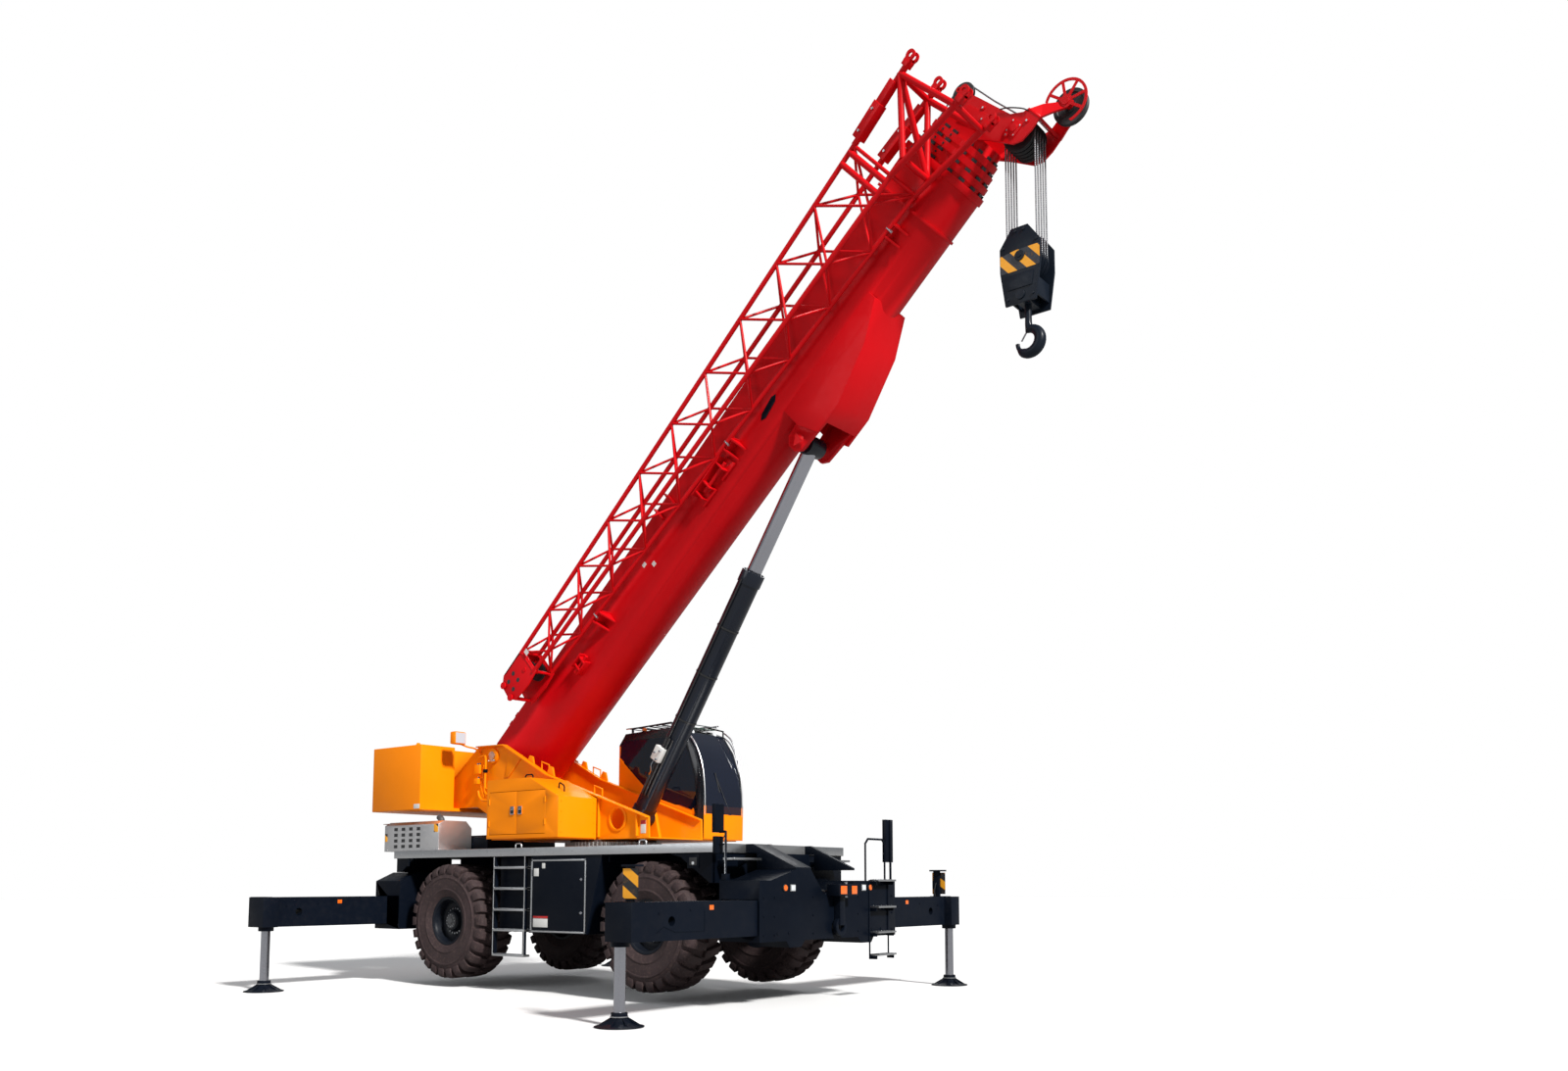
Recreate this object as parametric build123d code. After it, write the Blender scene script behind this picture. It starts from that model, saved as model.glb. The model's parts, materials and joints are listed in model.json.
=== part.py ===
from build123d import *
import math
import os

# Two-axle rough-terrain crane standing on its outriggers, in millimetres.
# X points forward, Y to the crane's left and Z up; Z = 0 is the ground under the float pads.
# Pieces are drawn about the slewing axis, then shifted back by ROW_SHIFT, so that the
# written origin is the middle of the whole crane's box, on the ground.

# ---- driving sizes: carrier
ROW_SHIFT = 1910.0
WHEELBASE = 4530.0
WHEEL_Z = 1074.0
TRACK = 2500.0
KINGPIN_INSET = 270.0
TYRE_R = 937.0
TYRE_WIDTH = 740.0
TYRE_BEAD_R = 372.0
TYRE_LUG = 60.0
LUGS_PER_SIDE = 26
AXLE_R = 135.0
FRAME_HALF = 400.0
FRAME_LOW = 1330.0
BELLY_LOW = 1010.0
DECK_TOP = 2245.0
DECK_EDGE = 130.0
DECK_HALF = 1550.0
DECK_REAR = 3790.0
DECK_FRONT = 3520.0
FRAME_TOP = DECK_TOP - DECK_EDGE
ENGINE_REAR = -3350.0
ENGINE_LONG = 1250.0
ENGINE_HALF = 320.0
ENGINE_LOW = 1450.0
RUN_GAP = 8.0
PIN_FIT = 0.5
SEAT = 0.3

# ---- driving sizes: outriggers
JACK_FRONT_X = 4060.0
JACK_REAR_X = -3810.0
JACK_Y = 3840.0
BEAM_WIDE = 300.0
BEAM_HIGH = 470.0
BEAM_LOW = 1000.0
BEAM_LONG = 3000.0
BEAM_TRAVEL = 2050.0
JACK_TRAVEL = 400.0
BEAM_SIDE = 160.0
HOUSING = 260.0
BOX_DEEP = 700.0
BOX_HALF = 1640.0
BOX_LOW = 915.0
BOX_TOP = 1880.0
BOX_SLOPE = 150.0
JACK_R = 70.0
PAD_R = 300.0
PAD_HIGH = 100.0

# ---- driving sizes: superstructure
RING_R = 760.0
RING_TEETH = 72
UPPER_LOW = 2385.0
TRAY = 15.0
CHEEK_OUT = 620.0
CHEEK_T = 30.0
FLANGE = 75.0
FOOT_X = -2320.0
FOOT_Z = 3880.0
FOOT_PIN_R = 75.0
WEIGHT_REAR = -4630.0
WEIGHT_FRONT = -3240.0
WEIGHT_HALF = 1450.0
WEIGHT_LOW = 2950.0
WEIGHT_TOP = 4080.0
BITE_HALF = 740.0
TAIL_LOW = 3010.0
BITE_DEEP = 420.0
CABINET_REAR = -1380.0
CABINET_FRONT = 320.0
CABINET_IN = 700.0
CABINET_OUT = 1500.0
CABINET_TOP = 3350.0
SHEET = 30.0
HINGE_R = 12.0
TOW_PIN_R = 30.0
CAB_REAR = -550.0
CAB_IN = 650.0
CAB_OUT = 1640.0
CAB_TOP = 4280.0
CAB_WALL = 50.0
RAM_X = 620.0
RAM_Z = 2750.0
RAM_PIN_R = 60.0
RAM_R = 172.0
RAM_BARREL = 4350.0
RAM_STROKE_IN = 1750.0
ROD_R = 115.0

# ---- driving sizes: boom, along s from the foot pin and n square to it
LUFF = 42.3
BOOM_TOP = 275.0
BOOM_LOW = 870.0
BOOM_HALF = 450.0
BOOM_REAR = 60.0
BOOM_FRONT = 11650.0
BOOM_WALL = 12.0
NEST = 20.0
SECTIONS = 4
NOSE_STEP = 140.0
COLLAR = 100.0
EYE_S = 7600.0
EYE_N = -1140.0
EYE_HALF = 170.0
HEAD_S = 12540.0
HEAD_N = -990.0
SHEAVE_R = 235.0
SHEAVES = 5
SHEAVE_PITCH = 75.0
SHEAVE_PIN_R = 45.0
GROOVE = 32.0
TOP_SHEAVE_N = 370.0
TOP_SHEAVE_R = 170.0
NOSE_S = 13160.0
NOSE_N = -1300.0
NOSE_SHEAVE_R = 240.0
NOSE_ARM_Y = 110.0
ROPE_R = 11.0
HOOK_DROP = 1310.0

# ---- driving sizes: jib, stowed along the boom's right side
JIB_START = 1950.0
JIB_BAY = 920.0
JIB_BAYS = 10
JIB_Y = -850.0
JIB_TOP = 420.0
JIB_FOOT_HALF = 180.0
JIB_HEAD_HALF = 300.0
JIB_FOOT_LOW = -50.0
JIB_HEAD_LOW = -450.0
CHORD_R = 42.0
BRACE_R = 20.0
FORK_S = 12400.0
FORK_TOP = 335.0
FORK_LOW = -800.0
FORK_HALF = 350.0
FORK_TUBE_R = 48.0
FORK_PIN_R = 32.0


# ---- small helpers
def block(x0, x1, y0, y1, z0, z1):
    """A box between two corners."""
    return Pos((x0 + x1) / 2, (y0 + y1) / 2, (z0 + z1) / 2) * Box(abs(x1 - x0), abs(y1 - y0), abs(z1 - z0))


def plate_y(points, y0, y1):
    """A plate outlined in X and Z, from y0 to y1."""
    face = Plane.XZ * Polygon(*points, align=None)
    return Pos(0, min(y0, y1), 0) * extrude(face, abs(y1 - y0), dir=(0, 1, 0))


def plate_x(points, x0, x1):
    """A plate outlined in Y and Z, from x0 to x1."""
    face = Plane.YZ * Polygon(*points, align=None)
    return Pos(min(x0, x1), 0, 0) * extrude(face, abs(x1 - x0), dir=(1, 0, 0))


def plate_z(points, z0, z1):
    """A plate outlined in X and Y, from z0 to z1."""
    return Pos(0, 0, z0) * extrude(Polygon(*points, align=None), z1 - z0)


def rod_x(x0, x1, y, z, r):
    return Pos((x0 + x1) / 2, y, z) * Rot(0, 90, 0) * Cylinder(r, abs(x1 - x0))


def rod_y(x, y0, y1, z, r):
    return Pos(x, (y0 + y1) / 2, z) * Rot(90, 0, 0) * Cylinder(r, abs(y1 - y0))


def rod_z(x, y, z0, z1, r):
    return Pos(x, y, (z0 + z1) / 2) * Cylinder(r, abs(z1 - z0))


def bar(a, b, r, sides=6):
    """A straight many-sided bar from point a to point b."""
    start, end = Vector(*a), Vector(*b)
    run = end - start
    return extrude(Plane(origin=start, z_dir=run) * RegularPolygon(r, sides), run.length)


def path_bar(points, r, sides=6):
    """Straight bars along a route, each lengthened a little so that the corners close."""
    pieces = []
    for a, b in zip(points, points[1:]):
        over = (Vector(*b) - Vector(*a)).normalized() * (r * 0.4)
        pieces.append(bar(Vector(*a) - over, Vector(*b) + over, r, sides))
    return joined(pieces)


def joined(pieces):
    """One shape from touching or overlapping pieces."""
    return pieces[0].fuse(*pieces[1:]) if len(pieces) > 1 else pieces[0]


def faceted_ring(profile, sides):
    """A ring about Z made of flat facets, from (radius, height) points round its section."""
    faces = []
    step = 2 * math.pi / sides

    def corner(k, i):
        radius, height = profile[i % len(profile)]
        return Vector(radius * math.cos(k * step), radius * math.sin(k * step), height)

    for k in range(sides):
        for i in range(len(profile)):
            ring = [corner(k, i), corner(k + 1, i), corner(k + 1, i + 1), corner(k, i + 1)]
            faces.append(Face(Wire.make_polygon(ring, close=True)))
    return Solid(Shell(faces))


def arc_points(x, z, radius, start, stop, steps):
    """Points along an arc, with its angles in degrees."""
    turn = [math.radians(start + (stop - start) * k / steps) for k in range(steps + 1)]
    return [(x + radius * math.cos(a), z + radius * math.sin(a)) for a in turn]


def wheel_place(side, front):
    return Pos(WHEELBASE / 2 if front else -WHEELBASE / 2, side * TRACK / 2, WHEEL_Z)


def boom_place():
    """From boom coordinates (s, y, n) to the crane's own."""
    return Pos(FOOT_X, 0, FOOT_Z) * Rot(0, -LUFF, 0)


def from_boom(s, n):
    """A boom point's X and Z at rest."""
    lean = math.radians(LUFF)
    return (FOOT_X + s * math.cos(lean) - n * math.sin(lean), FOOT_Z + s * math.sin(lean) + n * math.cos(lean))


EYE_X, EYE_Z = from_boom(EYE_S, EYE_N)
SHEAVE_X, SHEAVE_Z = from_boom(HEAD_S, HEAD_N)
RAM_LONG = math.hypot(EYE_X - RAM_X, EYE_Z - RAM_Z)
RAM_LEAN = math.degrees(math.atan2(EYE_Z - RAM_Z, EYE_X - RAM_X))


def ram_place():
    """From the luffing cylinder's own X to the crane's frame."""
    return Pos(RAM_X, 0, RAM_Z) * Rot(0, -RAM_LEAN, 0)


# name, side, front?, X of the jack, X of the beam's middle
BEAMS = [
    ("front_right", -1, True, JACK_FRONT_X, JACK_FRONT_X + BEAM_SIDE),
    ("front_left", 1, True, JACK_FRONT_X, JACK_FRONT_X - BEAM_SIDE),
    ("rear_right", -1, False, JACK_REAR_X, JACK_REAR_X - BEAM_SIDE),
    ("rear_left", 1, False, JACK_REAR_X, JACK_REAR_X + BEAM_SIDE),
]


# ---- carrier
def chassis_frame():
    """Box frame between the outrigger boxes, open on top over the engine, dropped at mid-wheelbase."""
    rear, front = JACK_REAR_X + BOX_DEEP / 2, JACK_FRONT_X - BOX_DEEP / 2
    knee = WHEELBASE / 2 - 750
    outline = [(rear, FRAME_LOW), (-knee, FRAME_LOW), (-knee + 300, BELLY_LOW), (knee - 300, BELLY_LOW),
               (knee, FRAME_LOW), (front, FRAME_LOW), (front, FRAME_TOP), (rear, FRAME_TOP)]
    frame = plate_y(outline, -FRAME_HALF, FRAME_HALF)
    bay = block(ENGINE_REAR - 40, ENGINE_REAR + ENGINE_LONG + 40, -ENGINE_HALF - 20, ENGINE_HALF + 20,
                ENGINE_LOW, FRAME_TOP + 1)
    pieces = [frame - bay]
    for x in (-WHEELBASE / 2, WHEELBASE / 2):
        for side in (-1, 1):
            pieces.append(block(x - 150, x + 150, side * 150, side * 290, WHEEL_Z + AXLE_R, FRAME_LOW))
    for x in (-1190, -315, 1370):
        pieces.append(block(x - 15, x + 15, -DECK_HALF + 120, DECK_HALF - 120, FRAME_TOP - 110, FRAME_TOP))
    return joined(pieces)


def engine_block():
    return block(ENGINE_REAR, ENGINE_REAR + ENGINE_LONG, -ENGINE_HALF, ENGINE_HALF, ENGINE_LOW, FRAME_TOP - 20)


def outrigger_box(front):
    """Cross box with one channel for each beam; the front one has a sloped fascia and a low middle."""
    x = JACK_FRONT_X if front else JACK_REAR_X
    half, shoulder = BOX_HALF, BOX_TOP - BOX_SLOPE
    if front:
        outline = [(-half, BOX_LOW), (-1060, BOX_LOW), (-990, BOX_LOW - 90), (-730, BOX_LOW - 90),
                   (-640, BOX_LOW), (640, BOX_LOW), (730, BOX_LOW - 90), (990, BOX_LOW - 90), (1060, BOX_LOW),
                   (half, BOX_LOW), (half, shoulder), (560, shoulder), (420, BOX_TOP - 340),
                   (-200, BOX_TOP - 340), (-500, BOX_TOP), (-850, BOX_TOP), (-1400, shoulder), (-half, shoulder)]
    else:
        outline = [(-half, BOX_LOW), (half, BOX_LOW), (half, shoulder), (1300, BOX_TOP), (-1300, BOX_TOP),
                   (-half, shoulder)]
    body = plate_x(outline, x - BOX_DEEP / 2, x + BOX_DEEP / 2)
    for name, side, is_front, jack_x, beam_x in BEAMS:
        if is_front == front:
            body -= block(beam_x - BEAM_WIDE / 2 - RUN_GAP, beam_x + BEAM_WIDE / 2 + RUN_GAP, -half - 1, half + 1,
                          BEAM_LOW - SEAT, BEAM_LOW + BEAM_HIGH + RUN_GAP)
    return body


def outrigger_beam(side, front, jack_x, beam_x):
    """One beam run out to its stop, with its jack housing."""
    y_end = JACK_Y + HOUSING / 2
    z0, z1 = BEAM_LOW, BEAM_LOW + BEAM_HIGH
    body = block(beam_x - BEAM_WIDE / 2, beam_x + BEAM_WIDE / 2, side * (y_end - BEAM_LONG), side * y_end, z0, z1)
    lean = math.copysign(1, beam_x - jack_x)
    housing = block(jack_x - lean * (JACK_R + 60), beam_x + lean * BEAM_WIDE / 2, side * (JACK_Y - HOUSING / 2),
                    side * y_end, z0, z1)
    collar = rod_z(jack_x, side * JACK_Y, z0 - 60, z0 + 10, JACK_R + 45)
    pieces = [body, housing, collar]
    if front:
        pieces.append(block(beam_x - 100, beam_x + 20, side * (JACK_Y - 60), side * (JACK_Y - 20), z1, z1 + 420))
        pieces.append(block(beam_x - 150, beam_x + 120, side * (JACK_Y - 100), side * (JACK_Y + 10),
                            z1 + 420, z1 + 445))
        pieces.append(outrigger_flag(side, beam_x))
    whole = joined(pieces)
    whole -= rod_z(jack_x, side * JACK_Y, z0 - 61, z1 - 20, JACK_R + PIN_FIT)
    whole -= rod_x(beam_x - BEAM_WIDE, beam_x + BEAM_WIDE, side * (JACK_Y - 560), z0 + BEAM_HIGH / 2, 60)
    return whole


def outrigger_flag(side, beam_x):
    """Striped warning plate on the front beam's post."""
    z1 = BEAM_LOW + BEAM_HIGH
    return block(beam_x - 140, beam_x + 110, side * (JACK_Y - 20), side * (JACK_Y - 14), z1 + 40, z1 + 400)


def jack(side, jack_x):
    """Chromed leg run down to the ground, on its float pad."""
    y = side * JACK_Y
    leg = rod_z(jack_x, y, PAD_HIGH - 10, BEAM_LOW + BEAM_HIGH - 25 - JACK_TRAVEL, JACK_R)
    socket = rod_z(jack_x, y, PAD_HIGH - 20, PAD_HIGH + 70, JACK_R + 34)
    dish = faceted_ring([(PAD_R * 0.1, 0), (PAD_R, 0), (PAD_R, 16), (PAD_R * 0.7, 38), (PAD_R * 0.4, PAD_HIGH),
                         (PAD_R * 0.1, PAD_HIGH)], 24)
    hub = rod_z(jack_x, y, 0, PAD_HIGH, PAD_R * 0.15)
    return joined([leg, socket, Pos(jack_x, y, 0) * dish, hub])


def deck():
    """Bright-edged deck plate over the whole carrier, with the skirts below it."""
    plate = block(-DECK_REAR, DECK_FRONT, -DECK_HALF, DECK_HALF, FRAME_TOP, DECK_TOP)
    return joined([plate, *fenders()])


def fenders():
    """Side skirts under the deck that form the wheel arches, the same on both sides."""
    pieces = []
    for side in (-1, 1):
        y0, y1 = side * (DECK_HALF - 60), side * (DECK_HALF - 20)
        low = BOX_TOP + SEAT
        rear = [(-DECK_REAR + 60, FRAME_TOP), (-DECK_REAR + 60, low), (-DECK_REAR + 200, low), (-3330, FRAME_TOP - 50),
                (-3250, FRAME_TOP)]
        pieces.append(plate_y(rear, y0, y1))
        front = [(2650, FRAME_TOP), (2900, FRAME_TOP - 60), (3440, FRAME_TOP - 420), (DECK_FRONT - 30, FRAME_TOP - 420),
                 (DECK_FRONT - 30, FRAME_TOP)]
        pieces.append(plate_y(front, y0, y1))
        pieces.append(block(-DECK_REAR + 60, -DECK_REAR + 90, side * (FRAME_HALF + SEAT), y1, low, FRAME_TOP))
        pieces.append(block(DECK_FRONT - 60, DECK_FRONT - 30, side * (FRAME_HALF + SEAT), y1, FRAME_TOP - 420, FRAME_TOP))
    return pieces


def locker(side):
    """Closed side locker between the axles; the left one is the fuel tank."""
    y0, y1 = side * (FRAME_HALF), side * DECK_HALF
    outline = [(-250, 930), (1010, 930), (1330, FRAME_TOP), (-250, FRAME_TOP)]
    return plate_y(outline, y0 + side * SEAT, y1 - side * 20)


def ladder(side):
    """Steps up to the deck behind the locker."""
    rear, front = -1110, -380
    y = side * (DECK_HALF - 10)
    pieces = []
    for x in (rear, front - 30):
        pieces.append(block(x, x + 30, y - side * 60, y, 550, FRAME_TOP))
    for z in (550, 940, 1260, 1590, 1920):
        pieces.append(block(rear, front, y - side * 130, y + side * 20, z, z + 35))
    pieces.append(block(rear, front, y - side * 320, y - side * 130, 930, FRAME_TOP))
    return joined(pieces)


def fairing():
    """Sloped centre fairing from the deck down to the front box, with a step pad on its left."""
    rear = DECK_FRONT
    front = JACK_FRONT_X + BOX_DEEP / 2
    top = [(rear, FRAME_TOP), (rear, DECK_TOP), (rear + 130, DECK_TOP), (front, BOX_TOP + 30), (front, BOX_TOP),
           (rear + 200, BOX_TOP), (rear + 200, FRAME_TOP)]
    pieces = []
    for y0, y1 in ((-850, -500), (500, 560)):
        pieces.append(plate_y(top, y0, y1))
    pad = block(rear, rear + 30, -500, 560, FRAME_TOP, DECK_TOP)
    return joined([*pieces, pad])


def front_steps():
    """Cantilevered treads ahead of the deck and the ladder at the left front."""
    pieces = []
    for y0, y1 in ((-1480, -900), (650, 1250)):
        pieces.append(block(DECK_FRONT + 120, DECK_FRONT + 330, y0, y1, 2010, 2040))
        for y in (y0 + 60, y1 - 90):
            rear = DECK_FRONT - 30 + SEAT
            pieces.append(plate_y([(rear, 1900), (rear, 2010), (DECK_FRONT + 330, 2010),
                                   (DECK_FRONT + 120, 1990)], y, y + 30))
    return pieces


def axle(front):
    """Axle housing with its differential, ending in a yoke at each kingpin."""
    x = WHEELBASE / 2 if front else -WHEELBASE / 2
    kingpin = TRACK / 2 - KINGPIN_INSET
    pieces = [rod_y(x, -kingpin + 130, kingpin - 130, WHEEL_Z, AXLE_R)]
    pieces.append(Pos(x, 0, WHEEL_Z) * Rot(90, 0, 0) * Cylinder(AXLE_R + 90, 260))
    pieces.append(block(x - 120, x + 120, -290, 290, WHEEL_Z + AXLE_R - 60, WHEEL_Z + AXLE_R))
    for side in (-1, 1):
        inner, outer = kingpin - 140, kingpin + 60
        for z0, z1 in ((150, 200), (-200, -150)):
            pieces.append(block(x - 70, x + 70, side * inner, side * outer, WHEEL_Z + z0, WHEEL_Z + z1))
        pieces.append(block(x - 70, x + 70, side * inner, side * (inner + 40), WHEEL_Z - 200, WHEEL_Z + 200))
    return joined(pieces)


def knuckle(side, front):
    """Steering knuckle between the yoke's ears, with the hub spindle."""
    x = WHEELBASE / 2 if front else -WHEELBASE / 2
    y = side * (TRACK / 2 - KINGPIN_INSET)
    swivel = rod_z(x, y, WHEEL_Z - 149.7, WHEEL_Z + 149.7, 60)
    spindle = rod_y(x, y, side * (TRACK / 2 + 150), WHEEL_Z, 110)
    arm = block(x - 260, x, y - side * 20, y + side * 40, WHEEL_Z - 60, WHEEL_Z - 20)
    return joined([swivel, spindle, arm])


def rim(side, front):
    """Wheel rim with its dished centre and hub cap."""
    half = TYRE_WIDTH / 2
    bead = TYRE_BEAD_R
    ring = [(bead - 40, -half + 60), (bead + 25, -half + 60), (bead, -half + 90), (bead, half - 90),
            (bead + 25, half - 60), (bead - 40, half - 60)]
    disc = [(110 + PIN_FIT, 60), (bead - 35, 150), (bead - 35, 185), (230, 185), (200, 240), (110 + PIN_FIT, 240)]
    whole = joined([faceted_ring(ring, 2 * LUGS_PER_SIDE), faceted_ring(disc, 2 * LUGS_PER_SIDE)])
    return wheel_place(side, front) * Rot(-90 * side, 0, 0) * whole


def tyre(side, front):
    """Tyre carcass with open-shouldered tread lugs, alternating from side to side."""
    half = TYRE_WIDTH / 2
    bead, crown = TYRE_BEAD_R + SEAT, TYRE_R - TYRE_LUG
    carcass = [(bead, -half + 92), (bead + 90, -half + 25), (bead + 260, -half + 5), (crown - 110, -half + 25),
               (crown, -half + 80), (crown, half - 80), (crown - 110, half - 25), (bead + 260, half - 5),
               (bead + 90, half - 25), (bead, half - 92)]
    pieces = [faceted_ring(carcass, 2 * LUGS_PER_SIDE)]
    pitch = 360 / LUGS_PER_SIDE
    lug_half = math.pi * TYRE_R / LUGS_PER_SIDE * 0.56
    for k in range(LUGS_PER_SIDE):
        for flank, shift in ((1, 0.0), (-1, 0.5)):
            lug = plate_x([(flank * -30, crown - 30), (flank * (half - 12), crown - 130),
                           (flank * (half - 30), TYRE_R - 40), (flank * (half - 75), TYRE_R),
                           (flank * -30, TYRE_R)], -lug_half, lug_half)
            turned = Rot(0, (k + shift) * pitch, 0) * lug
            pieces.append(turned)
    # The lugs are drawn with their length along Y and their height along Z
    upright = Rot(90, 0, 0) * pieces[0]
    return wheel_place(side, front) * joined([upright, *pieces[1:]])


def slew_ring():
    """Fixed ring gear between the deck and the superstructure."""
    points = []
    for k in range(RING_TEETH):
        for part, radius in ((-0.32, RING_R), (-0.14, RING_R + 28), (0.14, RING_R + 28), (0.32, RING_R)):
            a = 2 * math.pi * (k + part) / RING_TEETH
            points.append((radius * math.cos(a), radius * math.sin(a)))
    gear = plate_z(points, DECK_TOP, UPPER_LOW - 40)
    return joined([gear, rod_z(0, 0, DECK_TOP, UPPER_LOW - SEAT, RING_R - 60)])


def engine_hood():
    """Bright raised hood over the exhaust, vented on its right, with a low black hood beside it."""
    outline = [(-1350, DECK_TOP), (-660, DECK_TOP), (-660, 2640), (-780, 2760), (-1240, 2760), (-1350, 2700)]
    hood = plate_x(outline, -4370, -2830)
    for row in range(4):
        for column in range(4):
            x, z = -4040 + 215 * column, 2330 + 100 * row
            hood -= block(x - 45, x + 45, -1351, -1320, z - 25, z + 25)
    return hood


def low_hood():
    """Low black hood over the engine beside the raised one."""
    outline = [(-640, DECK_TOP), (900, DECK_TOP), (900, 2480), (840, 2520), (-600, 2520), (-640, 2480)]
    return plate_x(outline, -3700, -2420)


def tow_hitch():
    """Front towing plate with its hook below."""
    x = JACK_FRONT_X + BOX_DEEP / 2
    plate = block(x, x + 220, -130, 330, 1515, 1680) - rod_z(x + 165, 100, 1514, 1681, TOW_PIN_R)
    stem = block(x, x + 110, 40, 160, 1100, 1515)
    ring = Pos(x + 60, 100, 1080) * Rot(0, 90, 0) * faceted_ring([(70, -30), (130, -30), (130, 30), (70, 30)], 16)
    return joined([plate, stem, ring])


def lamps():
    """Front and rear lamps."""
    x = JACK_FRONT_X + BOX_DEEP / 2
    pieces = []
    for y, z in ((-1100, 1640), (-930, 1640), (780, 1620), (950, 1620)):
        pieces.append(block(x, x + 25, y - 60, y + 60, z - 50, z + 50))
    for side in (-1, 1):
        pieces.append(block(JACK_REAR_X - BOX_DEEP / 2 - 60, JACK_REAR_X - BOX_DEEP / 2, side * 1100 - 200,
                            side * 1100 + 200, 1560, 1680))
    return Compound(children=pieces)


def front_mirrors():
    """Mirror posts at both front corners and the grab rail on the left."""
    foot = BOX_TOP - BOX_SLOPE + SEAT
    x, y = JACK_FRONT_X - BOX_DEEP / 2 + 60, -BOX_HALF + 60
    right = [block(x - 40, x + 40, y - 40, y + 40, foot, foot + 90), bar((x, y, foot), (x, y, 2400), 18),
             bar((x, y, 2390), (x - 110, y, 2390), 18), block(x - 170, x - 110, y - 90, y + 90, 2380, 2770),
             block(x - 170, x - 110, y - 75, y + 75, 2100, 2330), bar((x - 120, y, 2220), (x, y, 2220), 12)]
    x, y = JACK_FRONT_X + BOX_DEEP / 2 - 60, BOX_HALF - 30
    left = [bar((x, y, foot), (x, y, 2660), 20), block(x - 70, x - 10, y - 110, y + 90, 2010, 2660)]
    arch = [(x, 930, 2280), (x, 1000, 2350), (x, 1380, 2350), (x, 1450, 2280)]
    rail = [path_bar(arch, 16), bar((x, 930, foot), (x, 930, 2290), 16), bar((x, 1450, foot), (x, 1450, 2290), 16)]
    return [joined(right), joined(left), joined(rail)]


# ---- superstructure
def cheek_outline():
    return [(-2730, 4070), (-3620, 3400), (-3620, TAIL_LOW), (-2730, TAIL_LOW), (-1500, UPPER_LOW + TRAY), (1400, UPPER_LOW + TRAY),
            (1390, 2720), (-910, 3490), (-2020, 4060)]


def upper_frame():
    """Two cheek plates on a bed plate, with flanged top edges, cross members and side trays."""
    bed = block(-1500, 1400, -CHEEK_OUT, CHEEK_OUT, UPPER_LOW, UPPER_LOW + TRAY)
    pieces = [bed]
    for side in (-1, 1):
        plate = plate_y(cheek_outline(), side * (CHEEK_OUT - CHEEK_T), side * CHEEK_OUT)
        flange = plate_y([(-2730, 4070), (-2020, 4060), (-910, 3490), (1390, 2720), (1390, 2700), (-915, 3470),
                          (-2025, 4040), (-2730, 4050)], side * (CHEEK_OUT - CHEEK_T), side * CHEEK_OUT - FLANGE)
        boss = rod_y(FOOT_X, side * (CHEEK_OUT - CHEEK_T - 60), side * (CHEEK_OUT + 30), FOOT_Z, FOOT_PIN_R + 60)
        ear = plate_y([(RAM_X - 160, UPPER_LOW), (RAM_X + 220, UPPER_LOW), (RAM_X + 110, RAM_Z + 60),
                       (RAM_X + 60, RAM_Z + 110), (RAM_X - 60, RAM_Z + 110), (RAM_X - 110, RAM_Z + 60)],
                      side * 205, side * 265)
        pieces += [plate, flange, boss, ear]
    pieces.append(block(-3620, -2700, -CHEEK_OUT, CHEEK_OUT, TAIL_LOW, TAIL_LOW + 30))
    slope = [(-2730, TAIL_LOW), (-1500, UPPER_LOW + TRAY), (-1460, UPPER_LOW + TRAY), (-2700, 3040)]
    pieces.append(plate_y(slope, -CHEEK_OUT, CHEEK_OUT))
    pieces += winch_mounts()
    pieces.append(block(CABINET_REAR + 60, CABINET_FRONT - 60, -CABINET_OUT + 60, -CHEEK_OUT + 1, UPPER_LOW,
                        UPPER_LOW + TRAY))
    pieces.append(block(CAB_REAR + 50, 1300, CHEEK_OUT - 1, CAB_OUT - 60, UPPER_LOW, UPPER_LOW + TRAY))
    whole = joined(pieces)
    whole -= rod_y(FOOT_X, -CHEEK_OUT - 100, CHEEK_OUT + 100, FOOT_Z, FOOT_PIN_R + PIN_FIT)
    whole -= rod_y(RAM_X, -300, 300, RAM_Z, RAM_PIN_R + PIN_FIT)
    whole -= rod_y(720, -CHEEK_OUT - 1, -CHEEK_OUT + CHEEK_T + 1, 2700, 165)
    return whole


def counterweight():
    """Cast counterweight with a bite at the front for the winch and two lifting eyes."""
    outline = [(WEIGHT_REAR, -WEIGHT_HALF), (WEIGHT_FRONT, -WEIGHT_HALF), (WEIGHT_FRONT, WEIGHT_HALF),
               (WEIGHT_REAR, WEIGHT_HALF)]
    body = plate_z(outline, WEIGHT_LOW, WEIGHT_TOP)
    body -= block(WEIGHT_FRONT - BITE_DEEP, WEIGHT_FRONT + 1, -BITE_HALF, BITE_HALF, TAIL_LOW - SEAT, WEIGHT_TOP + 1)
    eyes = []
    for side in (-1, 1):
        eyes.append(plate_x([(side * 1000 - 60, WEIGHT_TOP), (side * 1000 + 60, WEIGHT_TOP),
                             (side * 1000 + 30, WEIGHT_TOP + 110), (side * 1000 - 30, WEIGHT_TOP + 110)], -3960, -3935))
    return joined([body, *eyes])


def winch():
    """Hoist winch: grooved drum between flanges, with the rope's layers on it."""
    profile = [(120, -400), (330, -400), (330, -370), (250, -370), (250, 370), (330, 370), (330, 400), (120, 400)]
    return Pos(-3190, 0, 3520) * Rot(90, 0, 0) * faceted_ring(profile, 30)


def winch_mounts():
    """Plates on the bed that carry the winch drum's shaft."""
    pieces = []
    for side in (-1, 1):
        pieces.append(plate_y([(-3420, 3040), (-2960, 3040), (-3060, 3640), (-3320, 3640)], side * 410, side * 450))
    pieces.append(rod_y(-3190, -450, 450, 3520, 118.5))
    return pieces


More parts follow.
